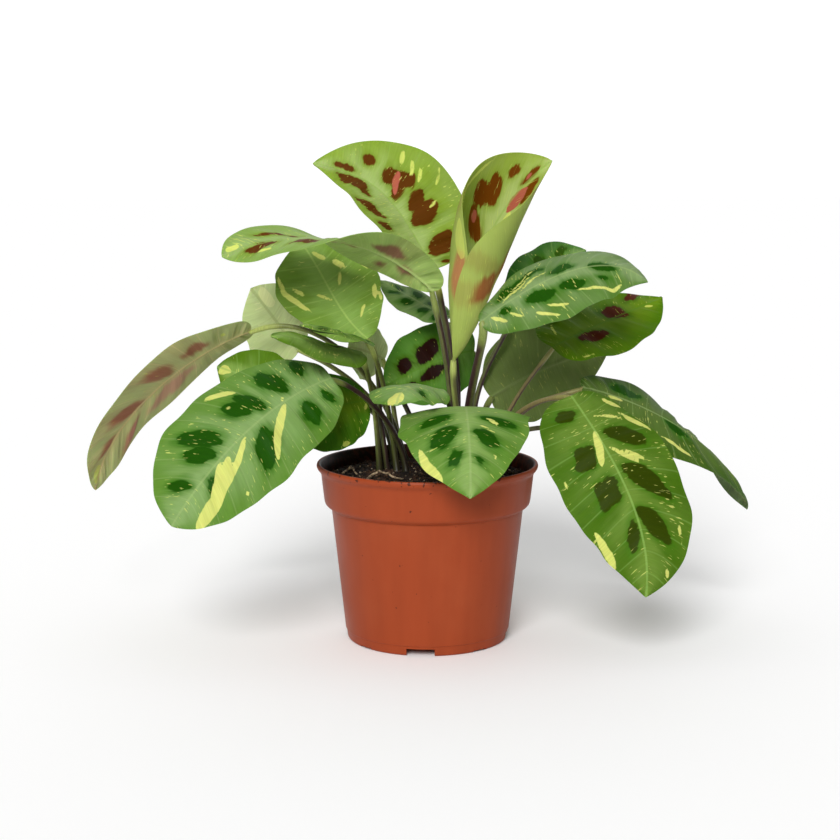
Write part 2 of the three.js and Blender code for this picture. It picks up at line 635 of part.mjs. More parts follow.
const stalkPaths = [];
Object.entries(leaves).forEach(([name, values]) => {
  const leaf = { ...leafDefaults, ...values };
  const bladeGeometry = blade(leaf);
  const path = seatedStalk(leaf, bladeGeometry);
  stalkPaths.push(path);
  plant.add(mesh(`blade_${name}`, bladeGeometry, leaf.green, 0.55));
  plant.add(mesh(`stalk_${name}`, tube(path, stalkRadii(), STALK_SIDES), 0x5f5138, 0.6));
});
const soilGeometry = soil(stalkPaths);
plant.add(mesh('soil', soilGeometry, 0x1e140e, 0.95));
Object.entries(dryRoots).forEach(([name, root]) => {
  plant.add(mesh(`dry_root_${name}`, seatedDryRoot(root, soilGeometry), 0xb9a48a, 0.8));
});

export default plant;
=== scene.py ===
"""A prayer plant (Maranta) in a moulded nursery pot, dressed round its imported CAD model.

Every leaf is a blade on its own stalk. A blade is worked out on its side veins: a row follows one
vein from the midrib to the margin. The markings lie between the veins, so each is placed by its
share of the way up the midrib and its share of the way out to the margin.
"""

import math

import bpy
import numpy as np
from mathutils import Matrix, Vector


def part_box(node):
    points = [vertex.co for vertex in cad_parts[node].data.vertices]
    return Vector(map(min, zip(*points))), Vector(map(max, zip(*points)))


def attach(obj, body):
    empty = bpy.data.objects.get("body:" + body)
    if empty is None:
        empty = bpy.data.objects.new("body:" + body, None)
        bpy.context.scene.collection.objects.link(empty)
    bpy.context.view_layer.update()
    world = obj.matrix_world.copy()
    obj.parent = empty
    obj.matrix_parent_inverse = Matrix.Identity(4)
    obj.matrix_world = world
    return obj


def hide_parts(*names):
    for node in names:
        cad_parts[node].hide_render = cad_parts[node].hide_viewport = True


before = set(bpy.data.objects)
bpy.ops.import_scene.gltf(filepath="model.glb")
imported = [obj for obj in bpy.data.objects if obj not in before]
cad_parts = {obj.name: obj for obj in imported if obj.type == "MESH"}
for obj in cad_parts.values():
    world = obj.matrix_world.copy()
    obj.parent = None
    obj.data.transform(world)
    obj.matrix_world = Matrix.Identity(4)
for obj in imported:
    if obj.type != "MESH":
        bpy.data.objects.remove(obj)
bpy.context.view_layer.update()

bl_info = {
    "name": "Prayer plant in a nursery pot",
    "version": (1, 0, 0),
    "blender": (4, 5, 0),
    "location": "3D View > Sidebar > Plant",
    "description": "Dresses a packed prayer plant with its blades, stalks, soil and pot",
    "category": "Object",
}

MM = 0.001
BODY = "root"


def linear(text):
    """The linear colour of an sRGB hex value."""
    parts = [int(text[i:i + 2], 16) / 255 for i in (1, 3, 5)]
    return (*(c / 12.92 if c <= 0.04045 else ((c + 0.055) / 1.055) ** 2.4 for c in parts), 1.0)


# The leaves, in millimetres and degrees. stalk: where it leaves the soil and two places it passes.
# midrib: base, one third, two thirds, tip. half: width of the left and right half, looking from
# base to tip with the upper side up. face: which way the upper side looks, at base and tip.
# fold, curl: how each half rises at the midrib and bends on, at base and tip, and ease when.
# lobe, point, fullness, blunt, skew: the outline's base lobes, drawn-out tip, fullness, cut-off tip
# and where each half is widest. wave, scallops: the ripple and the notches of the margin.
# quilt: how strongly the blade swells between its veins. slant: how steeply its painted veins rise.
# blotch, pink, cream: strokes of colour. A stroke runs through two or more places and ends with its
# width in millimetres. A place is a share of the way up the midrib and a share of the way out,
# negative in the left half. look: its colours, with the blade's own ones where they differ.
# skin, stout: the stalk's colours, and how much thicker than usual it is.
LEAF_SHAPE = {
    "lobe": (0.07, 0.07), "point": 0.07, "fullness": 0.85, "blunt": 0.2, "skew": (1, 1),
    "scallops": 0.018, "quilt": 1, "slant": 0, "ease": (1, 1), "wave": 1.2,
    "fold": ((0, 0), (0, 0)), "curl": ((-15, -15), (-15, -15)), "look": "mature",
}
LEAVES = {
    "far_left": {
        "look": "tanned", "skin": "green",
        "stalk": ((-15, 36, 84), (-21, 38, 116), (-51, 24, 157)),
        "midrib": ((-97, 26, 165), (-133, 20, 146), (-165, 12, 116), (-181, 4, 80)),
        "half": (24, 19), "face": ((-0.2, 0.5, 0.8), (-0.9, 0.5, 0.3)),
        "fold": ((0, -15), (0, -15)), "curl": ((10, 20), (10, 20)), "point": 0.04, "blunt": 0,
        "blotch": (
            (0.4, -0.45, 0.32, -0.4, 9), (0.5, -0.2, 0.52, -0.7, 10), (0.66, -0.1, 0.7, -0.5, 12),
            (0.8, -0.1, 0.85, -0.4, 6), (0.68, 0.4, 0.72, 0.8, 8)),
        "pink": ((0.42, 0.35, 0.6, 0.5, 10), (0.68, 0.4, 0.72, 0.8, 6)),
        "cream": ((0.22, -0.4, 0.24, -0.5, 3), (0.9, -0.4, 0.97, -0.1, 5)),
    },
    "front_left": {
        "look": "bluish",
        "stalk": ((-11, 6, 84), (-19, 4, 113), (-35, -14, 135)),
        "midrib": ((-50, -34, 147), (-81, -56, 132), (-107, -74, 108), (-128, -84, 79)),
        "half": (31, 41), "face": ((-0.25, -0.8, 0.6), (-0.5, -1, 0.25)), "lobe": (0.1, 0.1),
        "fold": ((-12, -10), (-5, 0)), "curl": ((-25, -20), (-20, -10)), "fullness": 0.72,
        "blunt": 0,
        "blotch": (
            (0.19, 0.4, 0.19, 0.85, 7), (0.31, 0.2, 0.33, 0.68, 11), (0.44, 0.12, 0.45, 0.52, 8),
            (0.49, 0.2, 0.5, 0.52, 8), (0.65, 0.2, 0.65, 0.72, 9), (0.71, 0.14, 0.72, 0.5, 9),
            (0.85, 0.2, 0.85, 0.6, 6), (0.16, -0.35, 0.16, -0.65, 6), (0.28, -0.3, 0.3, -0.65, 9),
            (0.51, -0.2, 0.55, -0.62, 12), (0.78, -0.15, 0.79, -0.45, 6)),
        "cream": (
            (0.36, -0.04, 0.43, -0.25, 0.48, -0.42, 0.52, -0.68, 4.4),
            (0.58, -0.04, 0.65, -0.25, 0.72, -0.42, 0.8, -0.6, 3.6),
            (0.68, -0.08, 0.74, -0.36, 0.81, -0.6, 0.92, -0.97, 7.4),
            (0.72, -0.04, 0.77, -0.3, 0.82, -0.5, 4),
            (0.43, 0.6, 0.49, 0.88, 4), (0.5, 0.42, 0.5, 0.54, 1.4), (0.36, 0.02, 0.34, 0.1, 1.4),
            (0.67, -0.75, 0.68, -0.85, 2)),
    },
    "upper_left": {
        "look": "young", "stout": 1.2, "green": "#80A048", "band": "#96B068", "under": "#9CB664",
        "under_rib": "#AABE74", "under_dapple": "#7E4A44",
        "stalk": ((11, 12, 84), (13, 8, 126), (8, 2, 163)),
        "midrib": ((3, -2, 189), (-29, -9, 211), (-67, -16, 218), (-107, -24, 209)),
        "half": (24, 25), "face": ((0, 0.8, 0.6), (0, -0.55, 0.85)), "lobe": (0.07, 0),
        "curl": ((0, 0), (0, 0)), "fullness": 0.8, "point": 0.05, "skew": (1.1, 1.55), "blunt": 0,
        "blotch": (
            (0.62, -0.5, 0.74, -0.35, 7), (0.83, -0.2, 0.9, -0.3, 8), (0.43, -0.3, 0.32, -0.35, 10),
            (0.73, 0.25, 0.83, 0.6, 4), (0.38, 0.35, 0.36, 0.55, 5), (0.3, 0.1, 0.22, 0.15, 5),
            (0.62, 0.1, 0.52, 0.05, 4)),
        "cream": ((0.85, -0.6, 0.8, -0.6, 2), (0.93, 0.5, 0.97, 0.4, 4)),
    },
    "top": {
        "look": "young", "skin": "pale", "stout": 1.3, "scallops": 0.004,
        "stalk": ((16, 15, 84), (16, 14, 125), (11, 13, 164)),
        "midrib": ((4, 8, 200), (-11, 14, 224), (-29, 20, 244), (-62, 24, 256)), "half": (30, 41),
        "face": ((0.4, -0.84, 0.45), (0.45, -0.84, 0.5)), "lobe": (0.05, 0.1),
        "fold": ((20, 26), (8, 6)), "curl": ((12, 5), (-8, -12)), "fullness": 0.8, "point": 0.14,
        "blunt": 0, "skew": (1.15, 1), "wave": 1.6,
        "blotch": (
            (0.92, 0.2, 0.86, 0.12, 4), (0.81, 0.4, 0.8, 0.6, 5), (0.71, 0.2, 0.7, 0.45, 6),
            (0.67, 0.48, 0.62, 0.08, 6), (0.64, 0.34, 0.63, 0.54, 7), (0.51, 0.18, 0.55, 0.44, 8),
            (0.43, 0.12, 0.47, 0.5, 11), (0.18, 0.22, 0.27, 0.55, 13), (0.22, 0.5, 0.24, 0.68, 8),
            (0.08, 0.5, 0.08, 0.8, 4), (0.88, -0.35, 0.76, -0.3, 9), (0.86, -0.6, 0.7, -0.4, 5),
            (0.68, -0.85, 0.52, -0.55, 7), (0.48, -0.85, 0.43, -0.55, 4),
            (0.39, -0.85, 0.36, -0.55, 3)),
        "pink": ((0.68, 0.48, 0.67, 0.3, 0.63, 0.12, 3),),
        "cream": (
            (0.7, 0.9, 0.69, 0.6, 1.8), (0.66, 0.8, 0.63, 0.5, 1.6), (0.62, 0.75, 0.59, 0.5, 1.6),
            (0.57, 0.95, 0.53, 0.7, 1.6), (0.48, 0.6, 0.46, 0.4, 1.4)),
    },
    "rolled": {
        "look": "rolled", "skin": "green", "stout": 1.25, "quilt": 0, "scallops": 0.01,
        # Its colours are lighter than the young look's: partly the young blade's own pale green, partly
        # painted light for the light that shines through the thin roll.
        "slant": 1.4, "green": "#9CB244", "band": "#B4C474", "halo": "#90A83C", "under": "#A2B25A",
        "under_dapple": "#8C4428", "dapple": "#743E08",
        "stalk": ((13, 6, 84), (17, 4, 108), (15, 0, 130)),
        "midrib": ((14, -2, 152), (21, 10, 182), (35, 14, 221), (66, 2, 258)), "half": (46, 49),
        "face": ((0, -1, 0), (-0.1, -1, 0.3)), "lobe": (0, 0), "fold": ((0, 0), (0, 20)),
        "curl": ((180, 20), (225, 45)), "ease": (3.3, 2.6), "point": 0.16, "fullness": 0.8,
        "blunt": 0.1, "skew": (1.95, 1.5), "wave": 0.3,
        "blotch": (
            (0.83, -0.56, 0.79, -0.3, 8), (0.865, -0.46, 0.81, -0.2, 8),
            (0.925, -0.45, 0.9, -0.3, 5), (0.96, -0.12, 0.905, -0.04, 3.5),
            (0.76, -0.36, 0.72, -0.22, 0.69, -0.1, 7), (0.94, 0.24, 0.87, 0.2, 6),
            (0.7, 0.5, 0.58, 0.52, 6), (0.55, 0.6, 0.44, 0.68, 11)),
        "pink": (
            (0.94, -0.1, 0.92, -0.06, 1.6), (0.76, -0.33, 0.73, -0.25, 3),
            (0.9, 0.1, 0.82, 0.06, 6), (0.58, -0.9, 0.4, -0.88, 10)),
        "cream": (
            (0.9, -0.88, 0.8, -0.8, 0.74, -0.55, 2.5), (0.82, 0.1, 0.74, 0.1, 3),
            (0.7, -0.92, 0.57, -0.9, 7)),
    },
    "upper_right": {
        "look": "bluish", "skin": "sheathed", "stout": 1.6, "green": "#52762C", "band": "#809963",
        "stalk": ((23, 5, 84), (22, -4, 125), (27, -26, 158)),
        "midrib": ((27, -35, 176), (52, -35, 193), (84, -36, 205), (113, -38, 197)),
        "half": (32, 26), "face": ((0, -0.5, 0.87), (0.25, -0.45, 0.85)), "lobe": (0.02, 0.05),
        "fold": ((-8, -10), (-8, -10)), "curl": ((-15, -20), (-15, -20)), "skew": (1.4, 1.15),
        "blotch": (
            (0.58, 0.35, 0.66, 0.38, 8), (0.42, 0.28, 0.52, 0.32, 8), (0.24, 0.2, 0.3, 0.25, 5),
            (0.74, -0.05, 0.82, 0.15, 7), (0.74, 0.4, 0.79, 0.45, 3), (0.57, -0.2, 0.64, -0.15, 8),
            (0.38, -0.5, 0.5, -0.5, 6), (0.28, -0.4, 0.4, -0.4, 8)),
        "cream": (
            (0.6, 0.5, 0.7, 0.68, 0.78, 0.85, 0.84, 0.8, 2), (0.16, 0.2, 0.22, 0.4, 0.26, 0.62, 2.4),
            (0.29, 0.35, 0.35, 0.6, 1.5), (0.4, 0.65, 0.48, 0.88, 1.4), (0.46, 0.55, 0.54, 0.75, 1.4),
            (0.28, -0.1, 0.4, -0.25, 0.47, -0.4, 1.7), (0.4, -0.1, 0.55, -0.35, 1.7),
            (0.35, -0.3, 0.5, -0.6, 1.7)),
    },
    "upper_right_back": {
        "look": "mature", "green": "#376C26", "band": "#6A8A48",
        "stalk": ((28, 22, 84), (27, 22, 127), (38, 23, 155)),
        "midrib": ((46, 26, 175), (61, 31, 190), (73, 36, 202), (88, 40, 208)), "half": (23, 23),
        "face": ((0, -0.6, 0.8), (0.1, -0.5, 0.9)),
    },
    "mid_right": {
        "look": "shaded", "skin": "ruddy", "stout": 0.8,
        "stalk": ((30, 8, 84), (42, 8, 118), (55, 4, 141)),
        "midrib": ((67, 0, 159), (88, 16, 167), (110, 34, 174), (132, 50, 181)), "half": (28, 24),
        "face": ((-0.1, -0.6, 0.8), (-0.1, -0.6, 0.8)), "curl": ((-10, -15), (-10, -15)),
        "blunt": 0.4, "skew": (0.92, 0.92),
        "blotch": (
            (0.71, 0.02, 0.64, -0.32, 10), (0.33, 0.2, 0.47, 0.32, 9), (0.8, -0.75, 0.84, -1, 10),
            (0.38, -0.75, 0.4, -0.85, 6)),
        "cream": (
            (0.3, -0.7, 0.2, -0.3, 1.6), (0.86, 0.15, 0.9, 0.35, 2), (0.22, 0.85, 0.3, 0.9, 1.4),
            (0.5, -0.6, 0.48, -0.75, 1.4)),
    },
    "inner_right": {
        "look": "mature", "stout": 1.2, "under": "#76894A", "under_dapple": "#687A40",
        "under_rib": "#86985A",
        "stalk": ((26, 30, 84), (26, 30, 95), (29, 28, 112)),
        "midrib": ((35, 26, 128), (57, 36, 139), (80, 46, 147), (103, 54, 151)), "half": (29, 29),
        "face": ((0.2, 0.95, 0.25), (0.2, 0.95, 0.25)), "curl": ((10, 10), (10, 10)),
        "blotch": (),
    },
    "front_right": {
        "look": "mature", "skin": "ruddy", "green": "#466A12", "band": "#688632",
        "dapple": "#303F02",
        "stalk": ((34, 2, 84), (42, -4, 116), (59, -18, 132)),
        "midrib": ((75, -30, 137), (94, -50, 108), (108, -64, 75), (111, -70, 39)),
        "half": (35, 32), "face": ((0.2, -0.8, 0.6), (0.1, -1, 0.2)), "skew": (1, 0.84),
        "wave": 1.8, "fold": ((-5, -5), (-5, -5)), "curl": ((-20, -20), (-20, -20)),
        "blotch": (
            (0.16, 0.28, 0.18, 0.55, 9), (0.38, 0.26, 0.41, 0.5, 13), (0.54, 0.22, 0.58, 0.42, 16),
            (0.72, 0.15, 0.8, 0.3, 7), (0.33, -0.2, 0.4, -0.65, 10), (0.51, -0.15, 0.6, -0.62, 12),
            (0.69, -0.12, 0.76, -0.52, 12)),
        "cream": (
            (0.3, 0.01, 0.38, 0.08, 0.46, 0.2, 4.4), (0.64, 0.86, 0.82, 0.99, 3.6),
            (0.42, 0.85, 0.45, 0.88, 1.5), (0.17, -0.8, 0.25, -0.95, 2.4),
            (0.26, -0.72, 0.38, -0.98, 2.8), (0.4, -0.06, 0.5, -0.42, 2.8),
            (0.42, -0.25, 0.49, -0.55, 2.4), (0.22, -0.15, 0.3, -0.7, 2),
            (0.68, -0.75, 0.76, -0.85, 1.8), (0.86, -0.75, 0.89, -0.85, 2.4)),
    },
    "far_right": {
        "look": "bluish", "skin": "ruddy", "stout": 0.9, "green": "#385810", "band": "#5A7234",
        "stalk": ((36, 16, 84), (48, 10, 118), (67, 4, 131)),
        "midrib": ((84, 2, 137), (118, 14, 124), (156, 26, 99), (180, 34, 63)), "half": (25, 24),
        "face": ((0.2, -0.7, 0.7), (1, 0.4, 0)), "blunt": 0, "fold": ((-5, -5), (-5, -5)),
        "curl": ((-20, -20), (-20, -25)), "skew": (1.2, 1.15),
        "blotch": ((0.3, -0.4, 0.42, -0.4, 9), (0.55, 0.1, 0.62, 0.2, 6)),
        "cream": (
            (0.25, 0.08, 0.34, 0.08, 2), (0.32, 0.45, 0.46, 0.55, 2.6), (0.5, 0.6, 0.6, 0.78, 2.4)),
    },
    "front_centre": {
        "look": "bluish", "band": "#84A258",
        "stalk": ((27, -6, 84), (24, -7, 103), (21, -12, 117)),
        "midrib": ((20, -14, 125), (20, -44, 131), (21, -70, 117), (21, -84, 93)), "half": (34, 36),
        "face": ((0, -0.35, 1), (0, -1, 0.2)), "lobe": (0.1, 0.1), "blunt": 0.35, "wave": 1.6,
        "fold": ((-3, -3), (-3, -3)), "curl": ((-12, -25), (-12, -25)), "skew": (0.7, 0.84),
        "blotch": (
            (0.62, 0.22, 0.64, 0.6, 10), (0.77, 0.25, 0.78, 0.46, 7), (0.49, 0.25, 0.5, 0.65, 5),
            (0.64, -0.18, 0.67, -0.55, 9), (0.52, -0.25, 0.52, -0.75, 5), (0.8, -0.2, 0.8, -0.4, 3)),
        "cream": (
            (0.64, 0.87, 0.73, 0.93, 0.84, 0.99, 4), (0.52, -0.3, 0.55, -0.55, 2),
            (0.58, -0.2, 0.6, -0.5, 1.6), (0.73, -0.6, 0.74, -0.7, 2)),
    },
    "small_centre": {
        "look": "bluish",
        "stalk": ((6, 0, 84), (12, -6, 109), (12, -12, 127)),
        "midrib": ((9, -16, 138), (-3, -26, 141), (-12, -37, 141), (-16, -46, 134)),
        "half": (17, 26), "face": ((-0.1, -0.3, 1), (-0.3, -0.6, 0.7)),
        "fold": ((-5, -5), (-5, -5)), "curl": ((-25, -25), (-25, -25)), "fullness": 0.8,
        "blotch": ((0.55, -0.3, 0.6, -0.6, 3),),
        "cream": ((0.82, 0.2, 0.97, 0, 9),),
    },
    "inner_centre": {
        "look": "shaded", "green": "#4E7E2A", "band": "#66903C", "dapple": "#220C06",
        "stalk": ((19, 34, 84), (22, 34, 103), (25, 34, 128)),
        "midrib": ((26, 32, 153), (10, 34, 149), (-8, 36, 141), (-24, 38, 132)), "half": (23, 23),
        "face": ((0, -0.9, 0.4), (0, -0.9, 0.4)),
        "blotch": (
            (0.8, 0.15, 0.73, 0.45, 6), (0.63, 0.15, 0.49, 0.48, 9), (0.66, -0.3, 0.5, -0.2, 7),
            (0.77, -0.35, 0.72, -0.4, 2)),
    },
    "mid_left": {
        "look": "mature", "green": "#6C8C34", "band": "#86A652", "rib": "#AEC86C",
        "stalk": ((-25, 20, 84), (-26, 18, 116), (-27, 6, 146)),
        "midrib": ((-32, -4, 164), (-46, 7, 178), (-57, 20, 195), (-70, 32, 214)), "half": (27, 28),
        "face": ((-0.1, -0.8, 0.7), (-0.1, -0.7, 0.8)), "lobe": (0, 0.07), "fold": ((5, 5), (5, 5)),
        "skew": (1.5, 1.2), "blunt": 0,
        "blotch": (),
        "cream": (
            (0.78, -0.95, 0.66, -0.84, 0.5, -0.6, 3), (0.7, -0.7, 0.62, -0.5, 2.6),
            (0.62, -0.3, 0.55, -0.05, 1.8), (0.74, 0.95, 0.6, 0.88, 3.6), (0.78, 0.4, 0.7, 0.55, 2.6),
            (0.7, 0.4, 0.62, 0.2, 2), (0.5, 0.85, 0.38, 0.78, 2.8), (0.9, 0.15, 0.82, 0.35, 2.2),
            (0.38, 0.5, 0.3, 0.3, 2), (0.44, 0.96, 0.34, 0.93, 2)),
    },
    "pale_left": {
        "look": "pale", "skin": "green",
        "stalk": ((-20, 31, 84), (-24, 33, 115), (-46, 34, 139)),
        "midrib": ((-71, 34, 153), (-79, 40, 162), (-88, 46, 173), (-99, 52, 186)),
        "half": (23, 23), "face": ((0.2, 0.9, 0.2), (0.2, 0.9, 0.2)),
        "cream": ((0.92, -0.3, 0.75, -0.4, 7), (0.62, -0.75, 0.5, -0.5, 5)),
    },
    "thin_upper": {
        "look": "mature", "skin": "green",
        "stalk": ((-16, 10, 84), (-21, 8, 122), (-26, -10, 149)),
        "midrib": ((-31, -22, 165), (-43, -32, 170), (-53, -42, 174), (-64, -52, 176)),
        "half": (18, 18), "face": ((0, -0.1, 1), (0, -0.1, 1)), "wave": 0.6,
    },
    "thin_lower": {
        "look": "mature", "skin": "green", "dapple": "#1E140C",
        "stalk": ((-26, 7, 84), (-28, 4, 119), (-31, -6, 141)),
        "midrib": ((-34, -20, 158), (-50, -26, 161), (-66, -32, 167), (-81, -38, 169)),
        "half": (20, 20), "face": ((0, -0.25, 1), (0, -0.2, 1)), "wave": 0.6,
        "blotch": ((0.56, 0.6, 0.47, 0.6, 2.8), (0.39, 0.6, 0.26, 0.6, 4)),
        "cream": ((0.45, -0.4, 0.42, -0.3, 2),),
    },
    "low_left": {
        "look": "mature",
        "stalk": ((-20, 24, 84), (-23, 24, 116), (-48, 20, 126)),
        "midrib": ((-70, 14, 128), (-85, 18, 134), (-100, 22, 140), (-116, 26, 145)),
        "half": (19, 19), "face": ((0, -0.9, 0.3), (0, -0.9, 0.3)),
        "blotch": (),
        "cream": ((0.97, -0.2, 0.88, -0.1, 6),),
    },
    "inner_left": {
        "look": "shaded", "green": "#3F7414",
        "stalk": ((-21, 13, 84), (-24, 12, 106), (-27, 11, 121)),
        "midrib": ((-33, 6, 129), (-50, -2, 127), (-65, -10, 123), (-82, -18, 117)),
        "half": (25, 25), "face": ((-0.2, -0.8, 0.5), (-0.2, -0.8, 0.5)),
        "blotch": (),
        "cream": ((0.05, -0.35, 0.12, -0.5, 2), (0.5, -0.92, 0.42, -0.92, 3)),
    },
    "thin_centre": {
        "look": "bluish", "green": "#6C8A4A", "band": "#88A468",
        "stalk": ((12, 22, 84), (17, 22, 121), (15, 24, 154)),
        "midrib": ((10, 28, 171), (-1, 34, 178), (-13, 40, 184), (-26, 45, 191)), "half": (15, 15),
        "face": ((0, -0.25, 1), (0, -0.25, 1)), "wave": 0.6,
    },
    "pale_inner": {
        "look": "pale", "skin": "green",
        "stalk": ((-9, 44, 84), (-17, 49, 106), (-20, 53, 125)),
        "midrib": ((-24, 51, 146), (-31, 53, 149), (-38, 55, 151), (-45, 57, 152)),
        "half": (17, 17), "face": ((0.2, 0.9, 0.3), (0.2, 0.9, 0.3)),
    },
    "back_left": {
        "look": "mature",
        "stalk": ((-20, 42, 84), (-24, 48, 107), (-38, 50, 121)),
        "midrib": ((-55, 50, 123), (-77, 62, 110), (-98, 74, 91), (-118, 80, 63)), "half": (24, 24),
        "face": ((-0.3, 0.5, 0.9), (-0.4, 0.9, 0.3)),
    },
    "back_right": {
        "look": "mature",
        "stalk": ((34, 30, 84), (43, 34, 103), (63, 37, 109)),
        "midrib": ((83, 42, 109), (100, 58, 91), (116, 70, 65), (126, 78, 31)), "half": (24, 24),
        "face": ((0.3, 0.5, 0.9), (0.3, 0.95, 0.3)),
    },
    "back_centre": {
        "look": "bluish",
        "stalk": ((20, 40, 84), (19, 47, 103), (18, 53, 105)),
        "midrib": ((16, 59, 104), (19, 72, 101), (22, 81, 88), (23, 84, 66)), "half": (22, 22),
        "face": ((0, 0.4, 1), (0, 1, 0.2)), "fullness": 0.75,
    },
    "back_upper_left": {
        "look": "young",
        "stalk": ((-2, 42, 84), (-9, 51, 112), (-24, 60, 140)),
        "midrib": ((-35, 60, 164), (-47, 65, 176), (-58, 70, 188), (-67, 75, 199)),
        "half": (20, 20), "face": ((-0.2, 0.9, 0.35), (-0.2, 0.8, 0.5)),
    },
    "back_upper_right": {
        "look": "young",
        "stalk": ((26, 36, 84), (34, 42, 101), (41, 49, 117)),
        "midrib": ((48, 52, 136), (63, 62, 151), (78, 71, 165), (92, 80, 176)), "half": (21, 21),
        "face": ((0.2, 0.9, 0.35), (0.2, 0.8, 0.5)),
    },
}

# The usual colours of a blade: between the veins, in the feathered band beside the midrib, round
# the blotches, in the blotches, where the green is missing, in the pink strokes, on the
# underside and in its blotches, and on the veins of both sides.
LOOKS = {
    "mature": {
        "green": "#567A18", "band": "#80A04C", "halo": "#3F6E10", "dapple": "#2C4E04",
        "cream": "#D2D572", "pink": "#A3543F", "under": "#6F844A", "under_dapple": "#46582E",
        "rib": "#90B45C", "under_rib": "#84905A",
    },
    # bluish: bluer greens, partly the blades' own grey-green and partly a painted bluish sheen.
    "bluish": {
        "green": "#5C842E", "band": "#82A060", "halo": "#3C6E1A", "dapple": "#1C4C02",
        "cream": "#D2D574", "pink": "#A3543F", "under": "#667C52", "under_dapple": "#425438",
        "rib": "#98AE6E", "under_rib": "#7F8F5A",
    },
    "young": {
        "green": "#84A032", "band": "#A2B86C", "halo": "#7A942A", "dapple": "#5E3408",
        "cream": "#D3DC6C", "pink": "#B4604A", "under": "#98A268", "under_dapple": "#7A4A40",
        "rib": "#93B254", "under_rib": "#8E9456",
    },
    "shaded": {
        "green": "#4A7204", "band": "#648416", "halo": "#406404", "dapple": "#4C1A02",
        "cream": "#C8D060", "pink": "#8A2F24", "under": "#5C7040", "under_dapple": "#403F28",
        "rib": "#558420", "under_rib": "#6B7038",
    },
    "pale": {
        "green": "#A4BC6C", "band": "#B8CC8A", "halo": "#98B060", "dapple": "#7C9650",
        "cream": "#E4E4A4", "pink": "#A3743F", "under": "#C6D296", "under_dapple": "#9CB070",
        "rib": "#A4B878", "under_rib": "#A8B478",
    },
    "tanned": {
        "green": "#76963F", "band": "#8CA65A", "halo": "#688832", "dapple": "#5C3A1A",
        "cream": "#CCD45C", "pink": "#BC8676", "under": "#AEB67A", "under_dapple": "#965848",
        "rib": "#8F9E58", "under_rib": "#CCBC84",
    },
}
USUAL_PAIRS = (0.2, 0.4, 0.6, 0.8)  # where along the midrib a blade has its usual pairs of blotches


def colour_property(name, description, hexadecimal):
    return bpy.props.FloatVectorProperty(
        name=name, description=description, default=linear(hexadecimal), size=4,
        min=0, max=1, subtype="COLOR")


def size_property(name, description, millimetres):
    return bpy.props.FloatProperty(
        name=name, description=description, default=millimetres * MM, min=0,
        unit="LENGTH", subtype="DISTANCE", precision=5)


class PotSettings(bpy.types.PropertyGroup):
    plastic: colour_property("Plastic", "Colour of the moulded plastic", "#943F1F")
    scuff: colour_property("Scuff", "Colour where the plastic is rubbed and dusty", "#9A4828")
    rim_radius: size_property("Rim radius", "Radius of the lip of the pot", 60)
    height: size_property("Height", "Height of the pot", 96.5)
    segments: bpy.props.IntProperty(
        name="Segments", description="Faces round the pot", default=192, min=24, max=512)


class SoilSettings(bpy.types.PropertyGroup):
    peat: colour_property("Peat", "Colour of the damp peat", "#130C08")
    crumb: colour_property("Crumb", "Colour of the drier crumbs", "#3A2517")
    crumb_size: size_property("Crumb size", "Radius of a large crumb", 1.6)
    crumb_density: bpy.props.FloatProperty(
        name="Crumbs", description="Crumbs on a square metre of soil", default=150000, min=0)
    root: colour_property("Root", "Colour of the dry roots", "#B49C7C")


class BladeSettings(bpy.types.PropertyGroup):
    thickness: size_property("Thickness", "Thickness of a blade", 0.4)
    rib: size_property("Midrib", "How far the midrib stands out of the underside", 0.7)
    quilting: size_property("Quilting", "How far the blade swells between its side veins", 0.22)
    swelling: size_property("Swelling", "Height of the broad waves from midrib to margin", 0.7)
    vein_spacing: size_property("Vein spacing", "Distance between side veins", 4.6)
    row_spacing: size_property("Row spacing", "Length of a blade's faces", 1.1)
    columns: bpy.props.IntProperty(
        name="Columns", description="Faces across each half of a blade", default=18, min=4, max=60)
    flecks: bpy.props.FloatProperty(
        name="Flecks", description="How much of a blade has pale flecks", default=0.5,
        min=0, max=1, subtype="FACTOR")


class StalkSettings(bpy.types.PropertyGroup):
    olive: colour_property("Olive", "Colour of a stalk in the light", "#5F6336")
    purple: colour_property("Purple", "Colour of the purple-brown side of a stalk", "#3E2828")
    radius: size_property("Radius", "Radius of a stalk at the soil", 1.6)
    thinning: bpy.props.FloatProperty(
        name="Thinning", description="Share of its radius that a stalk loses on its way up",
        default=0.22, min=0, max=1, subtype="FACTOR")
    swelling: size_property("Swelling", "How far the joint under the blade swells", 0.25)
    sides: bpy.props.IntProperty(
        name="Sides", description="Faces round a stalk", default=14, min=6, max=32)


class StageSettings(bpy.types.PropertyGroup):
    floor: colour_property("Floor", "Colour of the floor", "#FDFDFD")
    key: bpy.props.FloatProperty(
        name="Key light", description="Strength of the soft light from above", default=2.72, min=0)
    softness: bpy.props.FloatProperty(
        name="Softness", description="How wide the key light looks from the plant",
        default=math.radians(27), min=0, subtype="ANGLE")
    fill: bpy.props.FloatProperty(
        name="Fill", description="Strength of the white room on the viewer's side", default=0.18,
        min=0)
    ceiling: bpy.props.FloatProperty(
        name="Ceiling", description="How much stronger the room shines from above", default=0.45,
        min=0)
    backdrop: bpy.props.FloatProperty(
        name="Backdrop", description="Strength of the white room behind the plant", default=1.1,
        min=0)
    lens: bpy.props.FloatProperty(
        name="Lens", description="Focal length of the camera", default=80.4, min=1,
        unit="CAMERA")
    tilt: bpy.props.FloatProperty(
        name="Tilt", description="How far the camera looks down", default=math.radians(9.07),
        subtype="ANGLE")


def add(tree, kind, inputs=None, **settings):
    """Adds a node, sets its properties and its inputs, and links the inputs that are sockets."""
    node = tree.nodes.new(kind)
    for key, value in settings.items():
        setattr(node, key, value)
    for key, value in (inputs or {}).items():
        if isinstance(value, bpy.types.NodeSocket):
            tree.links.new(value, node.inputs[key])
        else:
            node.inputs[key].default_value = value
    return node


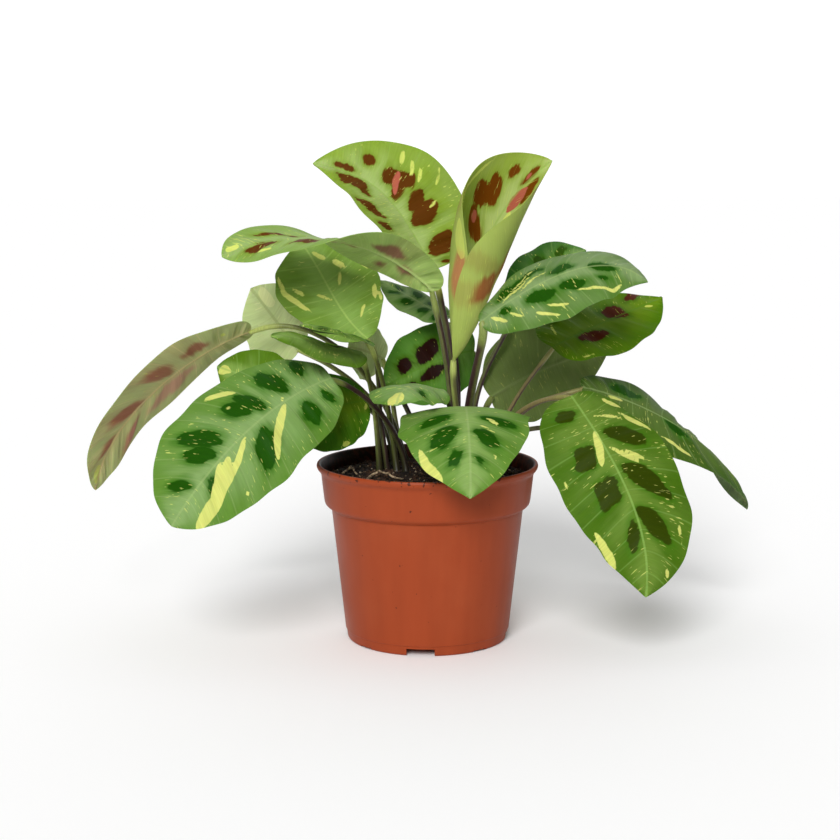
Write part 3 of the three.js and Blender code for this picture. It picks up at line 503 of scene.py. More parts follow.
def new_material(name):
    """An empty node material and its tree."""
    material = bpy.data.materials.new(name)
    material.use_nodes = True
    material.node_tree.nodes.clear()
    return material, material.node_tree


def mesh_piece(name, points, faces, material=None):
    """A new object at the origin whose place is in its mesh; points are in millimetres."""
    mesh = bpy.data.meshes.new(name)
    mesh.from_pydata((np.asarray(points) * MM).tolist(), [], faces)
    if material:
        mesh.materials.append(material)
    piece = bpy.data.objects.new(name, mesh)
    bpy.context.scene.collection.objects.link(piece)
    return piece


def finish_piece(piece, slot, *nodes):
    """Says what a finished piece rides on and hides the nodes that it stands for; its slot is not used.
    """
    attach(piece, BODY)
    if nodes:
        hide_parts(*nodes)


def smooth(mesh, angle):
    mesh.polygons.foreach_set("use_smooth", [True] * len(mesh.polygons))
    mesh.set_sharp_from_angle(angle=math.radians(angle))


def geometry_tree(name, inputs):
    """A geometry tree with a geometry going in and out, and named inputs."""
    tree = bpy.data.node_groups.new(name, "GeometryNodeTree")
    tree.interface.new_socket(name="Geometry", in_out="INPUT", socket_type="NodeSocketGeometry")
    for label, kind in inputs:
        tree.interface.new_socket(name=label, in_out="INPUT", socket_type=kind)
    tree.interface.new_socket(name="Geometry", in_out="OUTPUT", socket_type="NodeSocketGeometry")
    return tree, tree.nodes.new("NodeGroupInput"), tree.nodes.new("NodeGroupOutput")


def run_tree(piece, tree, values):
    """Puts the tree's result in the piece as a plain mesh."""
    modifier = piece.modifiers.new(tree.name, "NODES")
    modifier.node_group = tree
    for item in tree.interface.items_tree:
        if item.item_type == "SOCKET" and item.in_out == "INPUT" and item.name in values:
            modifier[item.identifier] = values[item.name]
    piece.update_tag()
    graph = bpy.context.evaluated_depsgraph_get()
    made = bpy.data.meshes.new_from_object(
        piece.evaluated_get(graph), preserve_all_data_layers=True, depsgraph=graph)
    piece.modifiers.remove(modifier)
    if not made.polygons:
        raise RuntimeError(f"{tree.name} made nothing for {piece.name}")
    piece.data = made


def unit(vectors):
    return vectors / np.maximum(np.linalg.norm(vectors, axis=-1, keepdims=True), 1e-9)


def through(points, t):
    """The cubic through four points at t = 0, 1/3, 2/3 and 1, and its direction."""
    t = np.asarray(t, float)[..., None]
    a, b, c = t - 1 / 3, t - 2 / 3, t - 1
    weights = (-4.5 * a * b * c, 13.5 * t * b * c, -13.5 * t * a * c, 4.5 * t * a * b)
    slopes = (
        -4.5 * (b * c + a * c + a * b),
        13.5 * (b * c + t * c + t * b),
        -13.5 * (a * c + t * c + t * a),
        4.5 * (a * b + t * b + t * a),
    )
    points = [np.asarray(p, float) for p in points]
    at = sum(w * p for w, p in zip(weights, points))
    slope = sum(w * p for w, p in zip(slopes, points))
    return at, unit(slope)


def half_width(leaf, t, right):
    """How far the margin is from the midrib at the vein t, on the flat blade."""
    skew = np.where(right, leaf["skew"][1], leaf["skew"][0])
    half = np.where(right, leaf["half"][1], leaf["half"][0])
    swell = np.maximum(np.sin(np.pi * t ** skew), 0) ** leaf["fullness"]
    turn = 2 * np.pi * (t + leaf["half"][0] / 7 + 0.3 * right)
    scallops = 1 + leaf["scallops"] * (np.sin(4.3 * turn) + 0.7 * np.sin(7.1 * turn + 1))
    return swell * (1 - leaf["blunt"] * t ** 6) * half * scallops


RIPPLES = 3  # waves of the margin from base to tip


def blade_surface(leaf, t, s):
    """The blade's middle surface at the vein t and the share s of the way out along it."""
    r = np.abs(s)
    right = s > 0
    lobe = np.where(right, leaf["lobe"][1], leaf["lobe"][0])
    along = (1 - leaf["point"]) * (1 - np.cos(np.pi * t)) / 2
    along = along + leaf["point"] * t ** 9 - lobe * 6 * t * (1 - t) ** 7
    stem = t ** 1.35
    station = stem + (along - stem) * r ** 1.4
    at, slope = through(leaf["midrib"], station)
    share = np.clip(station, 0, 1)
    base, tip = (np.asarray(f, float) for f in leaf["face"])
    face = base + (tip - base) * share[..., None]
    up = unit(face - (face * slope).sum(-1, keepdims=True) * slope)
    out = np.cross(slope, up)
    eased = share ** np.where(right, leaf["ease"][1], leaf["ease"][0])

    def bent(values):
        (left_base, left_tip), (right_base, right_tip) = values
        left = left_base + (left_tip - left_base) * eased
        return np.radians(np.where(right, right_base + (right_tip - right_base) * eased, left))

    fold = bent(leaf["fold"])
    bend = bent(leaf["curl"])
    bend = np.where(np.abs(bend) < 1e-3, 1e-3, bend)
    half = half_width(leaf, t, right)
    reach = half * (np.sin(fold + bend * r) - np.sin(fold)) / bend
    rise = half * (np.cos(fold) - np.cos(fold + bend * r)) / bend
    turn = 2 * np.pi * (RIPPLES * t + 0.37 * right)
    ripple = leaf["wave"] * np.sin(turn) * r ** 3 * np.sin(np.pi * t)
    return at + (reach * np.sign(s))[..., None] * out + (rise + ripple)[..., None] * up


def midrib_length(leaf):
    points, _ = through(leaf["midrib"], np.linspace(0, 1, 60))
    return float(np.linalg.norm(np.diff(points, axis=0), axis=1).sum())


def usual_blotches(length):
    """Pairs of blotches between the side veins, as a blade of this plant has them."""
    return [(share + 0.02 * side * (k % 2), 0.2 * side, share, 0.6 * side, 0.1 * length)
            for side in (-1, 1) for k, share in enumerate(USUAL_PAIRS)]


def lanes(blotches):
    """Strokes that run on from each blotch to the margin, along the side veins."""
    strokes = []
    for *places, width in blotches:
        t, s = max(zip(places[::2], places[1::2]), key=lambda place: abs(place[1]))
        strokes.append((t, s, t, math.copysign(0.98, s), width))
    return strokes


def depth_in(strokes, leaf, length, along, across, taper):
    """How far inside the nearest stroke each point lies, in millimetres; negative outside.

    A stroke narrows towards its ends: with a taper of 1 to nothing, with 0 not at all.
    """
    best = np.full(along.shape, -8.0)
    for *places, width in strokes:
        t, s = np.array(places, float).reshape(-1, 2).T
        run = np.stack([t * length, s * half_width(leaf, t, s > 0)], axis=-1)
        parts = np.linalg.norm(np.diff(run, axis=0), axis=1)
        done = 0.0
        for start, stop, part in zip(run[:-1], run[1:], parts):
            way = (stop - start) / max(part, 1e-6)
            step = (along - start[0]) * way[0] + (across - start[1]) * way[1]
            step = np.clip(step, 0, part)
            gap = np.hypot(along - start[0] - step * way[0], across - start[1] - step * way[1])
            share = (done + step) / max(parts.sum(), 1e-6)
            half = width / 2 * np.sqrt(1 - taper * (2 * share - 1) ** 2)
            best = np.maximum(best, half - gap)
            done += part
    return best


class BladeMesh:
    """The vertices, faces and flat places of one closed blade."""

    def __init__(self, leaf, settings):
        self.length = midrib_length(leaf)
        row_length = settings.row_spacing / MM
        rows = int(np.clip(self.length / row_length, 44, 120))
        columns = settings.columns * (2 if leaf["look"] == "rolled" else 1)
        t = np.linspace(0, 1, rows + 1)
        t = 0.6 * t + 0.4 * (1 - np.cos(np.pi * t)) / 2  # closer at the base and the tip
        s = np.linspace(-1, 1, 2 * columns + 1)
        s = np.sign(s) * np.abs(s) ** 1.25  # closer at the midrib
        t, s = np.meshgrid(t, s, indexing="ij")
        sheet = blade_surface(leaf, t, s)
        self.across = s * half_width(leaf, t, s > 0)
        self.along = t * self.length
        b = np.gradient(sheet, axis=1)
        a = np.gradient(sheet, axis=0)
        normal = unit(np.cross(b, a))
        normal[0] = normal[1, columns]
        normal[-1] = normal[-2, columns]
        out = np.abs(s)
        self.out = out
        spacing = settings.vein_spacing / MM
        quilt = settings.quilting / MM * np.sin(2 * np.pi * self.along / spacing)
        swell = settings.swelling / MM * np.sin(2 * np.pi * (self.along / spacing / 3 + 0.3 * (s > 0)))
        lift = (quilt + swell) * leaf["quilt"] * np.sin(np.pi * out) * np.clip(self.along / 12, 0, 1)
        sheet = sheet + lift[..., None] * normal
        half = settings.thickness / MM / 2 * (1 - 0.35 * out ** 4)
        ridge = np.exp(-(self.across / 0.8) ** 2) * (1 - 0.85 * t)
        upper = sheet + (half - 0.15 * ridge)[..., None] * normal
        lower = sheet - (half + settings.rib / MM * ridge)[..., None] * normal
        self.points, self.faces = self.join(upper, lower)

    def join(self, upper, lower):
        """One closed shell of both faces and the margin between them."""
        rows, wide = upper.shape[0] - 1, upper.shape[1]
        middle = wide // 2
        self.order = [(0, middle)]
        self.order += [(i, j) for i in range(1, rows) for j in range(wide)]
        self.order += [(rows, middle)]
        full = len(self.order)

        def number(i, j, under):
            place = 0 if i == 0 else full - 1 if i == rows else 1 + (i - 1) * wide + j
            return place + under * full

        def face(*corners):
            kept = list(dict.fromkeys(corners))
            faces.append(kept)

        faces = []
        for i in range(rows):
            for j in range(wide - 1):
                ring = ((i, j), (i, j + 1), (i + 1, j + 1), (i + 1, j))
                face(*(number(*c, 0) for c in ring))
                face(*(number(*c, 1) for c in reversed(ring)))
            face(number(i, 0, 0), number(i + 1, 0, 0), number(i + 1, 0, 1), number(i, 0, 1))
            last = wide - 1
            face(number(i + 1, last, 0), number(i, last, 0), number(i, last, 1),
                 number(i + 1, last, 1))
        self.full = full
        picked = tuple(np.array(self.order).T)
        return np.concatenate([upper[picked], lower[picked]]), faces

    def flat(self, grid):
        """A value of the grid for each vertex, the same on both faces."""
        values = grid[tuple(np.array(self.order).T)]
        return np.concatenate([values, values])


FLAT_SPAN = 200  # millimetres that the blade's own map covers
VEIN_PACE = 4.6  # half the distance between two painted side veins, in millimetres
STROKE_TAPER = {"blotch": 0.75, "pink": 0.85, "cream": 0.98, "lane": 0.1}


def write_markings(mesh, blade, leaf):
    """Gives the mesh its flat map and how deep each point lies in each kind of marking."""
    along, across = blade.flat(blade.along), blade.flat(blade.across)
    strokes = {kind: leaf.get(kind, ()) for kind in ("blotch", "pink", "cream")}
    if "blotch" not in leaf and leaf["look"] != "pale":
        strokes["blotch"] = usual_blotches(blade.length)
    strokes["lane"] = lanes(strokes["blotch"] or usual_blotches(blade.length))
    values = {kind: depth_in(s, leaf, blade.length, along, across, STROKE_TAPER[kind])
              for kind, s in strokes.items()}
    values["share"] = blade.flat(blade.out)
    values["underside"] = np.repeat([0.0, 1.0], blade.full)
    for kind, numbers in values.items():
        layer = mesh.attributes.new(kind, "FLOAT", "POINT")
        layer.data.foreach_set("value", numbers.astype(np.float32))
    corners = np.empty(len(mesh.loops), dtype=np.int32)
    mesh.loops.foreach_get("vertex_index", corners)
    flat = np.stack([0.5 + across / FLAT_SPAN, along / FLAT_SPAN], axis=-1)[corners]
    layer = mesh.uv_layers.new(name="Flat")
    layer.data.foreach_set("uv", flat.astype(np.float32).ravel())


BLADE_COLOURS = ("green", "band", "halo", "dapple", "cream", "pink", "under", "under_dapple",
                 "rib", "under_rib")


def blade_pattern():
    """The colour, roughness and relief of a blade, from its flat map and its markings.

    A living leaf is a waxy skin over soft green tissue. The paint of the pattern runs in brush
    strokes along the side veins, so every noise here is drawn out across the blade.
    """
    tree = bpy.data.node_groups.new("maranta blade pattern", "ShaderNodeTree")
    for name in BLADE_COLOURS:
        tree.interface.new_socket(name=name, in_out="INPUT", socket_type="NodeSocketColor")
    for name in ("seed", "flecks", "veins", "slant"):
        tree.interface.new_socket(name=name, in_out="INPUT", socket_type="NodeSocketFloat")
    tree.interface.new_socket(name="colour", in_out="OUTPUT", socket_type="NodeSocketColor")
    for name in ("roughness", "relief"):
        tree.interface.new_socket(name=name, in_out="OUTPUT", socket_type="NodeSocketFloat")
    given = tree.nodes.new("NodeGroupInput").outputs
    flat_map = add(tree, "ShaderNodeUVMap", uv_map="Flat").outputs[0]
    centred = add(tree, "ShaderNodeVectorMath", {0: flat_map, 1: (-0.5, 0, 0)}, operation="ADD")
    flat = add(tree, "ShaderNodeVectorMath", {0: centred.outputs[0], "Scale": FLAT_SPAN},
               operation="SCALE").outputs[0]
    place = add(tree, "ShaderNodeSeparateXYZ", {0: flat}).outputs
    across = add(tree, "ShaderNodeMath", {0: place[0]}, operation="ABSOLUTE").outputs[0]
    shift = add(tree, "ShaderNodeCombineXYZ", {2: given["seed"]}).outputs[0]
    lean = add(tree, "ShaderNodeMath", {0: across, 1: given["slant"]}, operation="MULTIPLY").outputs[0]
    row = add(tree, "ShaderNodeMath", {0: place[1], 1: lean}, operation="SUBTRACT").outputs[0]
    on_veins = add(tree, "ShaderNodeCombineXYZ", {0: place[0], 1: row}).outputs[0]

    def strokes(long, short, detail, rough=0.55):
        """Noise in strokes so many millimetres long across the blade and short along it."""
        drawn = add(tree, "ShaderNodeVectorMath", {0: on_veins, 1: (1 / long, 1 / short, 1)},
                    operation="MULTIPLY").outputs[0]
        moved = add(tree, "ShaderNodeVectorMath", {0: drawn, 1: shift}, operation="ADD").outputs[0]
        return add(tree, "ShaderNodeTexNoise", {
            "Vector": moved, "Scale": 1, "Detail": detail, "Roughness": rough}).outputs[0]

    def between(value, low, high):
        """0 below low and 1 above high, eased."""
        return add(tree, "ShaderNodeMapRange", {0: value, 1: low, 2: high},
                   interpolation_type="SMOOTHSTEP").outputs[0]

    def times(value, factor):
        return add(tree, "ShaderNodeMath", {0: value, 1: factor}, operation="MULTIPLY").outputs[0]

    def plus(value, other):
        return add(tree, "ShaderNodeMath", {0: value, 1: other}, operation="ADD").outputs[0]

    def blend(share, under, over):
        return add(tree, "ShaderNodeMix", {0: share, 6: under, 7: over},
                   data_type="RGBA").outputs[2]

    def read(name):
        return add(tree, "ShaderNodeAttribute", attribute_name=name).outputs["Fac"]

    def marking(kind, frayed, soft, grow=0.0, by=None):
        """A marking whose ends fray along the veins."""
        fray = times(plus(by or brush, -0.5), frayed)
        return between(plus(read(kind), fray), -soft - grow, soft - grow)

    brush = strokes(26, 2.8, 3)
    bristles = strokes(18, 1.1, 2)
    ragged = plus(times(brush, 0.6), times(bristles, 0.4))
    fine = strokes(14, 0.6, 2)
    broad = strokes(26, 17, 2)
    specks = strokes(4.4, 0.62, 1, 0.4)
    crowd = strokes(24, 16, 1)

    # Beside the midrib the green is paler, and this band runs out in strokes between the veins.
    band_edge = plus(times(plus(brush, -0.5), 16), 5.5)
    band = between(add(tree, "ShaderNodeMath", {0: band_edge, 1: across},
                       operation="SUBTRACT").outputs[0], -3.5, 3.5)
    band = add(tree, "ShaderNodeMath", {0: band, 1: between(read("share"), 0.8, 0.3)},
               operation="MULTIPLY").outputs[0]
    lane = marking("lane", 9, 3.2, 1.5)
    inner = between(read("share"), 0.98, 0.5)
    open_green = add(tree, "ShaderNodeMath", {0: 1.0, 1: lane}, operation="SUBTRACT").outputs[0]
    open_green = add(tree, "ShaderNodeMath", {0: open_green, 1: inner}, operation="MULTIPLY").outputs[0]
    beat = add(tree, "ShaderNodeMath", {0: times(row, 1 / VEIN_PACE), 1: 1.0},
               operation="PINGPONG").outputs[0]
    vein = add(tree, "ShaderNodeMath", {0: between(beat, 0.88, 1.0), 1: given["veins"]},
               operation="MULTIPLY").outputs[0]
    rib = between(across, 0.75, 0.3)
    under_rib = between(across, 1.2, 0.5)

    upper = blend(times(between(broad, 0.35, 0.7), 0.3), given["green"], given["band"])
    upper = blend(times(open_green, 0.62), upper, given["band"])
    upper = blend(times(band, 0.85), upper, given["band"])
    upper = blend(times(marking("blotch", 7, 2.4, 1.6), 0.8), upper, given["halo"])
    upper = blend(times(vein, 0.24), upper, given["rib"])
    upper = blend(marking("blotch", 5, 0.55, by=ragged), upper, given["dapple"])
    upper = blend(marking("pink", 1.6, 0.3), upper, given["pink"])
    threshold = plus(times(crowd, -0.28), 0.892)
    threshold = plus(threshold, times(given["flecks"], -0.1))
    fleck = between(add(tree, "ShaderNodeMath", {0: specks, 1: threshold},
                        operation="SUBTRACT").outputs[0], 0.0, 0.05)
    solid = add(tree, "ShaderNodeMath", {
        0: marking("cream", 1.3, 0.22), 1: plus(times(bristles, 0.6), 0.6)},
        operation="MULTIPLY", use_clamp=True).outputs[0]
    cream = add(tree, "ShaderNodeMath", {0: solid, 1: times(fleck, 0.66)},
                operation="MAXIMUM").outputs[0]
    upper = blend(cream, upper, given["cream"])
    upper = blend(times(rib, 0.5), upper, given["rib"])

    lower = blend(times(lane, 0.22), given["under"], given["under_dapple"])
    lower = blend(times(vein, 0.38), lower, given["under_rib"])
    lower = blend(times(band, 0.3), lower, given["under_rib"])
    lower = blend(times(marking("blotch", 5, 2.4), 0.85), lower, given["under_dapple"])
    lower = blend(times(marking("pink", 6, 2.6), 0.75), lower, given["pink"])
    lower = blend(times(cream, 0.6), lower, given["cream"])
    lower = blend(times(under_rib, 0.85), lower, given["under_rib"])

    side = add(tree, "ShaderNodeAttribute", attribute_name="underside").outputs["Fac"]
    face = blend(side, upper, lower)
    shade = add(tree, "ShaderNodeMapRange", {0: fine, 1: 0.3, 2: 0.7, 3: 0.86, 4: 0.97}).outputs[0]
    colour = add(tree, "ShaderNodeVectorMath", {0: face, "Scale": shade},
                 operation="SCALE").outputs[0]
    skin = plus(times(fine, 0.14), times(side, 0.16))
    relief = plus(times(fine, 0.35), times(vein, -0.5))
    add(tree, "NodeGroupOutput", {
        "colour": colour, "roughness": plus(skin, 0.42), "relief": relief})
    return tree


def blade_material(name, leaf, pattern, number, flecks):
    """A fresh leaf blade: a waxy, satin skin over green tissue that lets some light through."""
    material, tree = new_material(f"maranta_blade_{name}")
    colours = dict(LOOKS["young" if leaf["look"] == "rolled" else leaf["look"]])
    colours.update({k: leaf[k] for k in BLADE_COLOURS if isinstance(leaf.get(k), str)})
    inputs = {k: linear(colours[k]) for k in BLADE_COLOURS}
    inputs["seed"] = 3.7 * number
    inputs["flecks"] = flecks
    inputs["veins"] = min(leaf["quilt"] + 0.1, 1)
    inputs["slant"] = leaf["slant"]
    painted = tree.nodes.new("ShaderNodeGroup")
    painted.node_tree = pattern
    for key, value in inputs.items():
        painted.inputs[key].default_value = value
    bump = add(tree, "ShaderNodeBump", {
        "Strength": 0.35, "Distance": 0.3 * MM, "Height": painted.outputs["relief"]})
    skin = add(tree, "ShaderNodeBsdfPrincipled", {
        "Base Color": painted.outputs["colour"], "Roughness": painted.outputs["roughness"],
        "Normal": bump.outputs[0], "IOR": 1.42, "Specular IOR Level": 0.05,
        "Subsurface Weight": 0.25, "Subsurface Radius": (0.5, 1.0, 0.25),
        "Subsurface Scale": 0.8 * MM})
    add(tree, "ShaderNodeOutputMaterial", {"Surface": skin.outputs[0]})
    return material


class PLANT_OT_blades(bpy.types.Operator):
    """Makes every leaf blade with its veins and markings"""

    bl_idname = "plant.blades"
    bl_label = "Leaf blades"

    def execute(self, context):
        settings = context.scene.plant_blades
        pattern = blade_pattern()
        for number, (name, values) in enumerate(LEAVES.items()):
            leaf = {**LEAF_SHAPE, **values}
            blade = BladeMesh(leaf, settings)
            material = blade_material(name, leaf, pattern, number, settings.flecks)
            piece = mesh_piece(f"leaf_{name}", blade.points, blade.faces, material)
            write_markings(piece.data, blade, leaf)
            smooth(piece.data, 55)
            slot = "young_leaf" if leaf["look"] in ("young", "rolled") else "leaf"
            finish_piece(piece, slot, f"blade_{name}")
        return {"FINISHED"}


def stalk_tree():
    """A stalk along its path: thinner upwards, with the swollen joint under the blade."""
    tree, start, end = geometry_tree("leaf stalk", (
        ("Radius", "NodeSocketFloat"), ("Thinning", "NodeSocketFloat"),
        ("Swelling", "NodeSocketFloat"), ("Sides", "NodeSocketInt"),
        ("Material", "NodeSocketMaterial")))
    given = start.outputs
    curve = add(tree, "GeometryNodeMeshToCurve", {0: given["Geometry"]}).outputs[0]
    along = add(tree, "GeometryNodeSplineParameter").outputs["Factor"]
    loss = add(tree, "ShaderNodeMath", {0: along, 1: given["Thinning"]}, operation="MULTIPLY")
    rest = add(tree, "ShaderNodeMath", {0: 1.0, 1: loss.outputs[0]}, operation="SUBTRACT")
    shaft = add(tree, "ShaderNodeMath", {0: rest.outputs[0], 1: given["Radius"]},
                operation="MULTIPLY")
    rising = add(tree, "ShaderNodeMapRange", {0: along, 1: 0.82, 2: 0.9},
                 interpolation_type="SMOOTHSTEP")
    falling = add(tree, "ShaderNodeMapRange", {0: along, 1: 1.0, 2: 0.95},
                  interpolation_type="SMOOTHSTEP")
    joint = add(tree, "ShaderNodeMath", {0: rising.outputs[0], 1: falling.outputs[0]},
                operation="MULTIPLY")
    swollen = add(tree, "ShaderNodeMath", {0: joint.outputs[0], 1: given["Swelling"]},
                  operation="MULTIPLY")
    foot = add(tree, "ShaderNodeMapRange", {0: along, 1: 0.16, 2: 0.0, 3: 0.0, 4: 0.35},
               interpolation_type="SMOOTHSTEP")
    sheath = add(tree, "ShaderNodeMath", {0: foot.outputs[0], 1: given["Radius"]},
                 operation="MULTIPLY")
    radius = add(tree, "ShaderNodeMath", {0: shaft.outputs[0], 1: swollen.outputs[0]},
                 operation="ADD")
    radius = add(tree, "ShaderNodeMath", {0: radius.outputs[0], 1: sheath.outputs[0]},
                 operation="ADD")
    marked = add(tree, "GeometryNodeStoreNamedAttribute", {
        0: curve, "Name": "along", "Value": along}, data_type="FLOAT", domain="POINT")
    ring = add(tree, "GeometryNodeCurvePrimitiveCircle", {
        "Resolution": given["Sides"], "Radius": 1.0})
    tube = add(tree, "GeometryNodeCurveToMesh", {
        "Curve": marked.outputs[0], "Profile Curve": ring.outputs[0],
        "Scale": radius.outputs[0], "Fill Caps": True})
    rounded = add(tree, "GeometryNodeSetShadeSmooth", {0: tube.outputs[0]})
    whole = add(tree, "GeometryNodeRealizeInstances", {0: rounded.outputs[0]})
    finished = add(tree, "GeometryNodeSetMaterial", {
        0: whole.outputs[0], "Material": given["Material"]})
    tree.links.new(finished.outputs[0], end.inputs[0])
    return tree


def stalk_path(leaf):
    """The stalk's middle line, up to the underside of the blade."""
    at, slope = through(leaf["midrib"], 0.0)
    face = np.asarray(leaf["face"][0], float)
    up = unit(face - (face @ slope) * slope)
    end = at - 1.1 * up + 0.6 * slope
    points, _ = through([*leaf["stalk"], end], np.linspace(0, 1, 49))
    return points


def stalk_material(name, low, high, knee):
    """A fleshy leaf stalk: smooth green skin, flushed purple on one side, with fine ridges."""
    material, tree = new_material(name)
    place = add(tree, "ShaderNodeTexCoord").outputs
    # Ridges 0.5 mm apart that run up the stalk.
    drawn = add(tree, "ShaderNodeMapping", {0: place["Object"], 3: (1900, 1900, 70)})
    ridges = add(tree, "ShaderNodeTexNoise", {0: drawn.outputs[0], "Scale": 1, "Detail": 2})
    mottle = add(tree, "ShaderNodeTexNoise", {0: place["Object"], "Scale": 90, "Detail": 3})
    facing = add(tree, "ShaderNodeSeparateXYZ", {0: place["Normal"]})
    turned = add(tree, "ShaderNodeMath", {0: facing.outputs[0], 1: mottle.outputs[0]},
                 operation="ADD")
    flush = add(tree, "ShaderNodeMapRange", {0: turned.outputs[0], 1: 0.15, 2: 0.95},
                interpolation_type="SMOOTHSTEP")
    skin = add(tree, "ShaderNodeMix", {0: flush.outputs[0], 6: high, 7: low}, data_type="RGBA")
    along = add(tree, "ShaderNodeAttribute", attribute_name="along").outputs["Fac"]
    top = add(tree, "ShaderNodeMapRange", {0: along, 1: 0.84, 2: 0.93},
              interpolation_type="SMOOTHSTEP")
    jointed = add(tree, "ShaderNodeMix", {0: top.outputs[0], 6: skin.outputs[2], 7: knee},
                  data_type="RGBA")
    # The foot is darkened to a dark brown, up to two fifths of the way: a soil stain near the ground,
    # and painted shade under the leaves above it.
    foot = add(tree, "ShaderNodeMapRange", {0: along, 1: 0.42, 2: 0.06, 4: 0.93})
    foot_stain_and_shade = add(tree, "ShaderNodeMix", {
        0: foot.outputs[0], 6: jointed.outputs[2], 7: linear("#211A12")}, data_type="RGBA")
    light = add(tree, "ShaderNodeMapRange", {0: ridges.outputs[0], 1: 0.3, 2: 0.7, 3: 0.8, 4: 1.2})
    colour = add(tree, "ShaderNodeVectorMath", {0: foot_stain_and_shade.outputs[2], "Scale": light.outputs[0]},
                 operation="SCALE")
    bump = add(tree, "ShaderNodeBump", {
        "Strength": 0.3, "Distance": 0.2 * MM, "Height": ridges.outputs[0]})
    flesh = add(tree, "ShaderNodeBsdfPrincipled", {
        "Base Color": colour.outputs[0], "Roughness": 0.42, "IOR": 1.42,
        "Normal": bump.outputs[0], "Subsurface Weight": 0.15,
        "Subsurface Radius": (1.0, 0.7, 0.3), "Subsurface Scale": 0.8 * MM})
    add(tree, "ShaderNodeOutputMaterial", {"Surface": flesh.outputs[0]})
    return material


class PLANT_OT_stalks(bpy.types.Operator):
    """Makes every leaf stalk along its path"""

    bl_idname = "plant.stalks"
    bl_label = "Leaf stalks"

    def execute(self, context):
        settings = context.scene.plant_stalks
        tree = stalk_tree()
        low, high = tuple(settings.purple), tuple(settings.olive)
        materials = {
            "olive": stalk_material("maranta_stalk_olive", low, high, linear("#7E8A46")),
            "pale": stalk_material("maranta_stalk_pale_joint", low, high, linear("#C9CC62")),
            "ruddy": stalk_material("maranta_stalk_ruddy", linear("#4A3028"),
                                    linear("#7C7048"), linear("#848048")),
            "sheathed": stalk_material("maranta_stalk_sheathed", high, low, linear("#7E8A46")),
            "green": stalk_material("maranta_stalk_green", linear("#5A5A30"),
                                    linear("#838F46"), linear("#A3AE5C")),
        }
        for name, values in LEAVES.items():
            leaf = {**LEAF_SHAPE, **values}
            path = stalk_path(leaf)
            piece = mesh_piece(f"stem_{name}", path, [])
            piece.data.edges.add(len(path) - 1)
            links = [k + d for k in range(len(path) - 1) for d in (0, 1)]
            piece.data.edges.foreach_set("vertices", links)
            run_tree(piece, tree, {
                "Radius": settings.radius * leaf.get("stout", 1), "Thinning": settings.thinning,
                "Swelling": settings.swelling, "Sides": settings.sides,
                "Material": materials[leaf.get("skin", "olive")]})
            finish_piece(piece, "leaf_stalk", f"stalk_{name}")
        return {"FINISHED"}


SOIL_LEVEL = 90
SOIL_CROWN = (5, 15)
SOIL_RADIUS = 54
POT_FLOOR = 5


def soil_top(x, y):
    """The height of the soil, as the CAD soil has it, with finer clods."""
    broad = np.sin(0.41 * x + 1.3) * np.cos(0.37 * y - 0.6)
    clods = broad + 0.7 * np.sin(0.83 * x - 0.69 * y + 2.1)
    crown = 1.6 * np.exp(-((x - SOIL_CROWN[0]) ** 2 + (y - SOIL_CROWN[1]) ** 2) / 900)
    lumps = np.sin(2.1 * x + 0.7 * y) * np.sin(1.7 * y - 1.1 * x + 0.4)
    grit = np.sin(3.9 * x - 1.3) * np.sin(4.3 * y + 0.8)
    return SOIL_LEVEL - 1.6 + crown + 1.1 * clods / 1.7 + 0.45 * lumps + 0.25 * grit


def soil_body(segments=180, rings=72):
    """The body of soil: its clodded top, and the side and floor that the pot holds."""
    angles = np.linspace(0, 2 * np.pi, segments, endpoint=False)
    points = [(0, 0, float(soil_top(0, 0)))]
    for ring in range(1, rings + 1):
        radius = SOIL_RADIUS * ring / rings
        x, y = radius * np.cos(angles), radius * np.sin(angles)
        points += list(zip(x, y, soil_top(x, y)))
    walls = ((SOIL_RADIUS, 77.5), (49.9, 75.2), (42.3, 7.5), (40.3, POT_FLOOR + 0.3))
    for radius, z in walls:
        points += [(radius * math.cos(a), radius * math.sin(a), z) for a in angles]
    points.append((0, 0, POT_FLOOR + 0.3))

    def at(ring, k):
        return 1 + (ring - 1) * segments + k % segments

    faces = []
    total = rings + len(walls)
    for k in range(segments):
        faces.append([0, at(1, k), at(1, k + 1)])
        for ring in range(1, total):
            faces.append([at(ring, k), at(ring + 1, k), at(ring + 1, k + 1), at(ring, k + 1)])
        faces.append([at(total, k), len(points) - 1, at(total, k + 1)])
    return points, faces


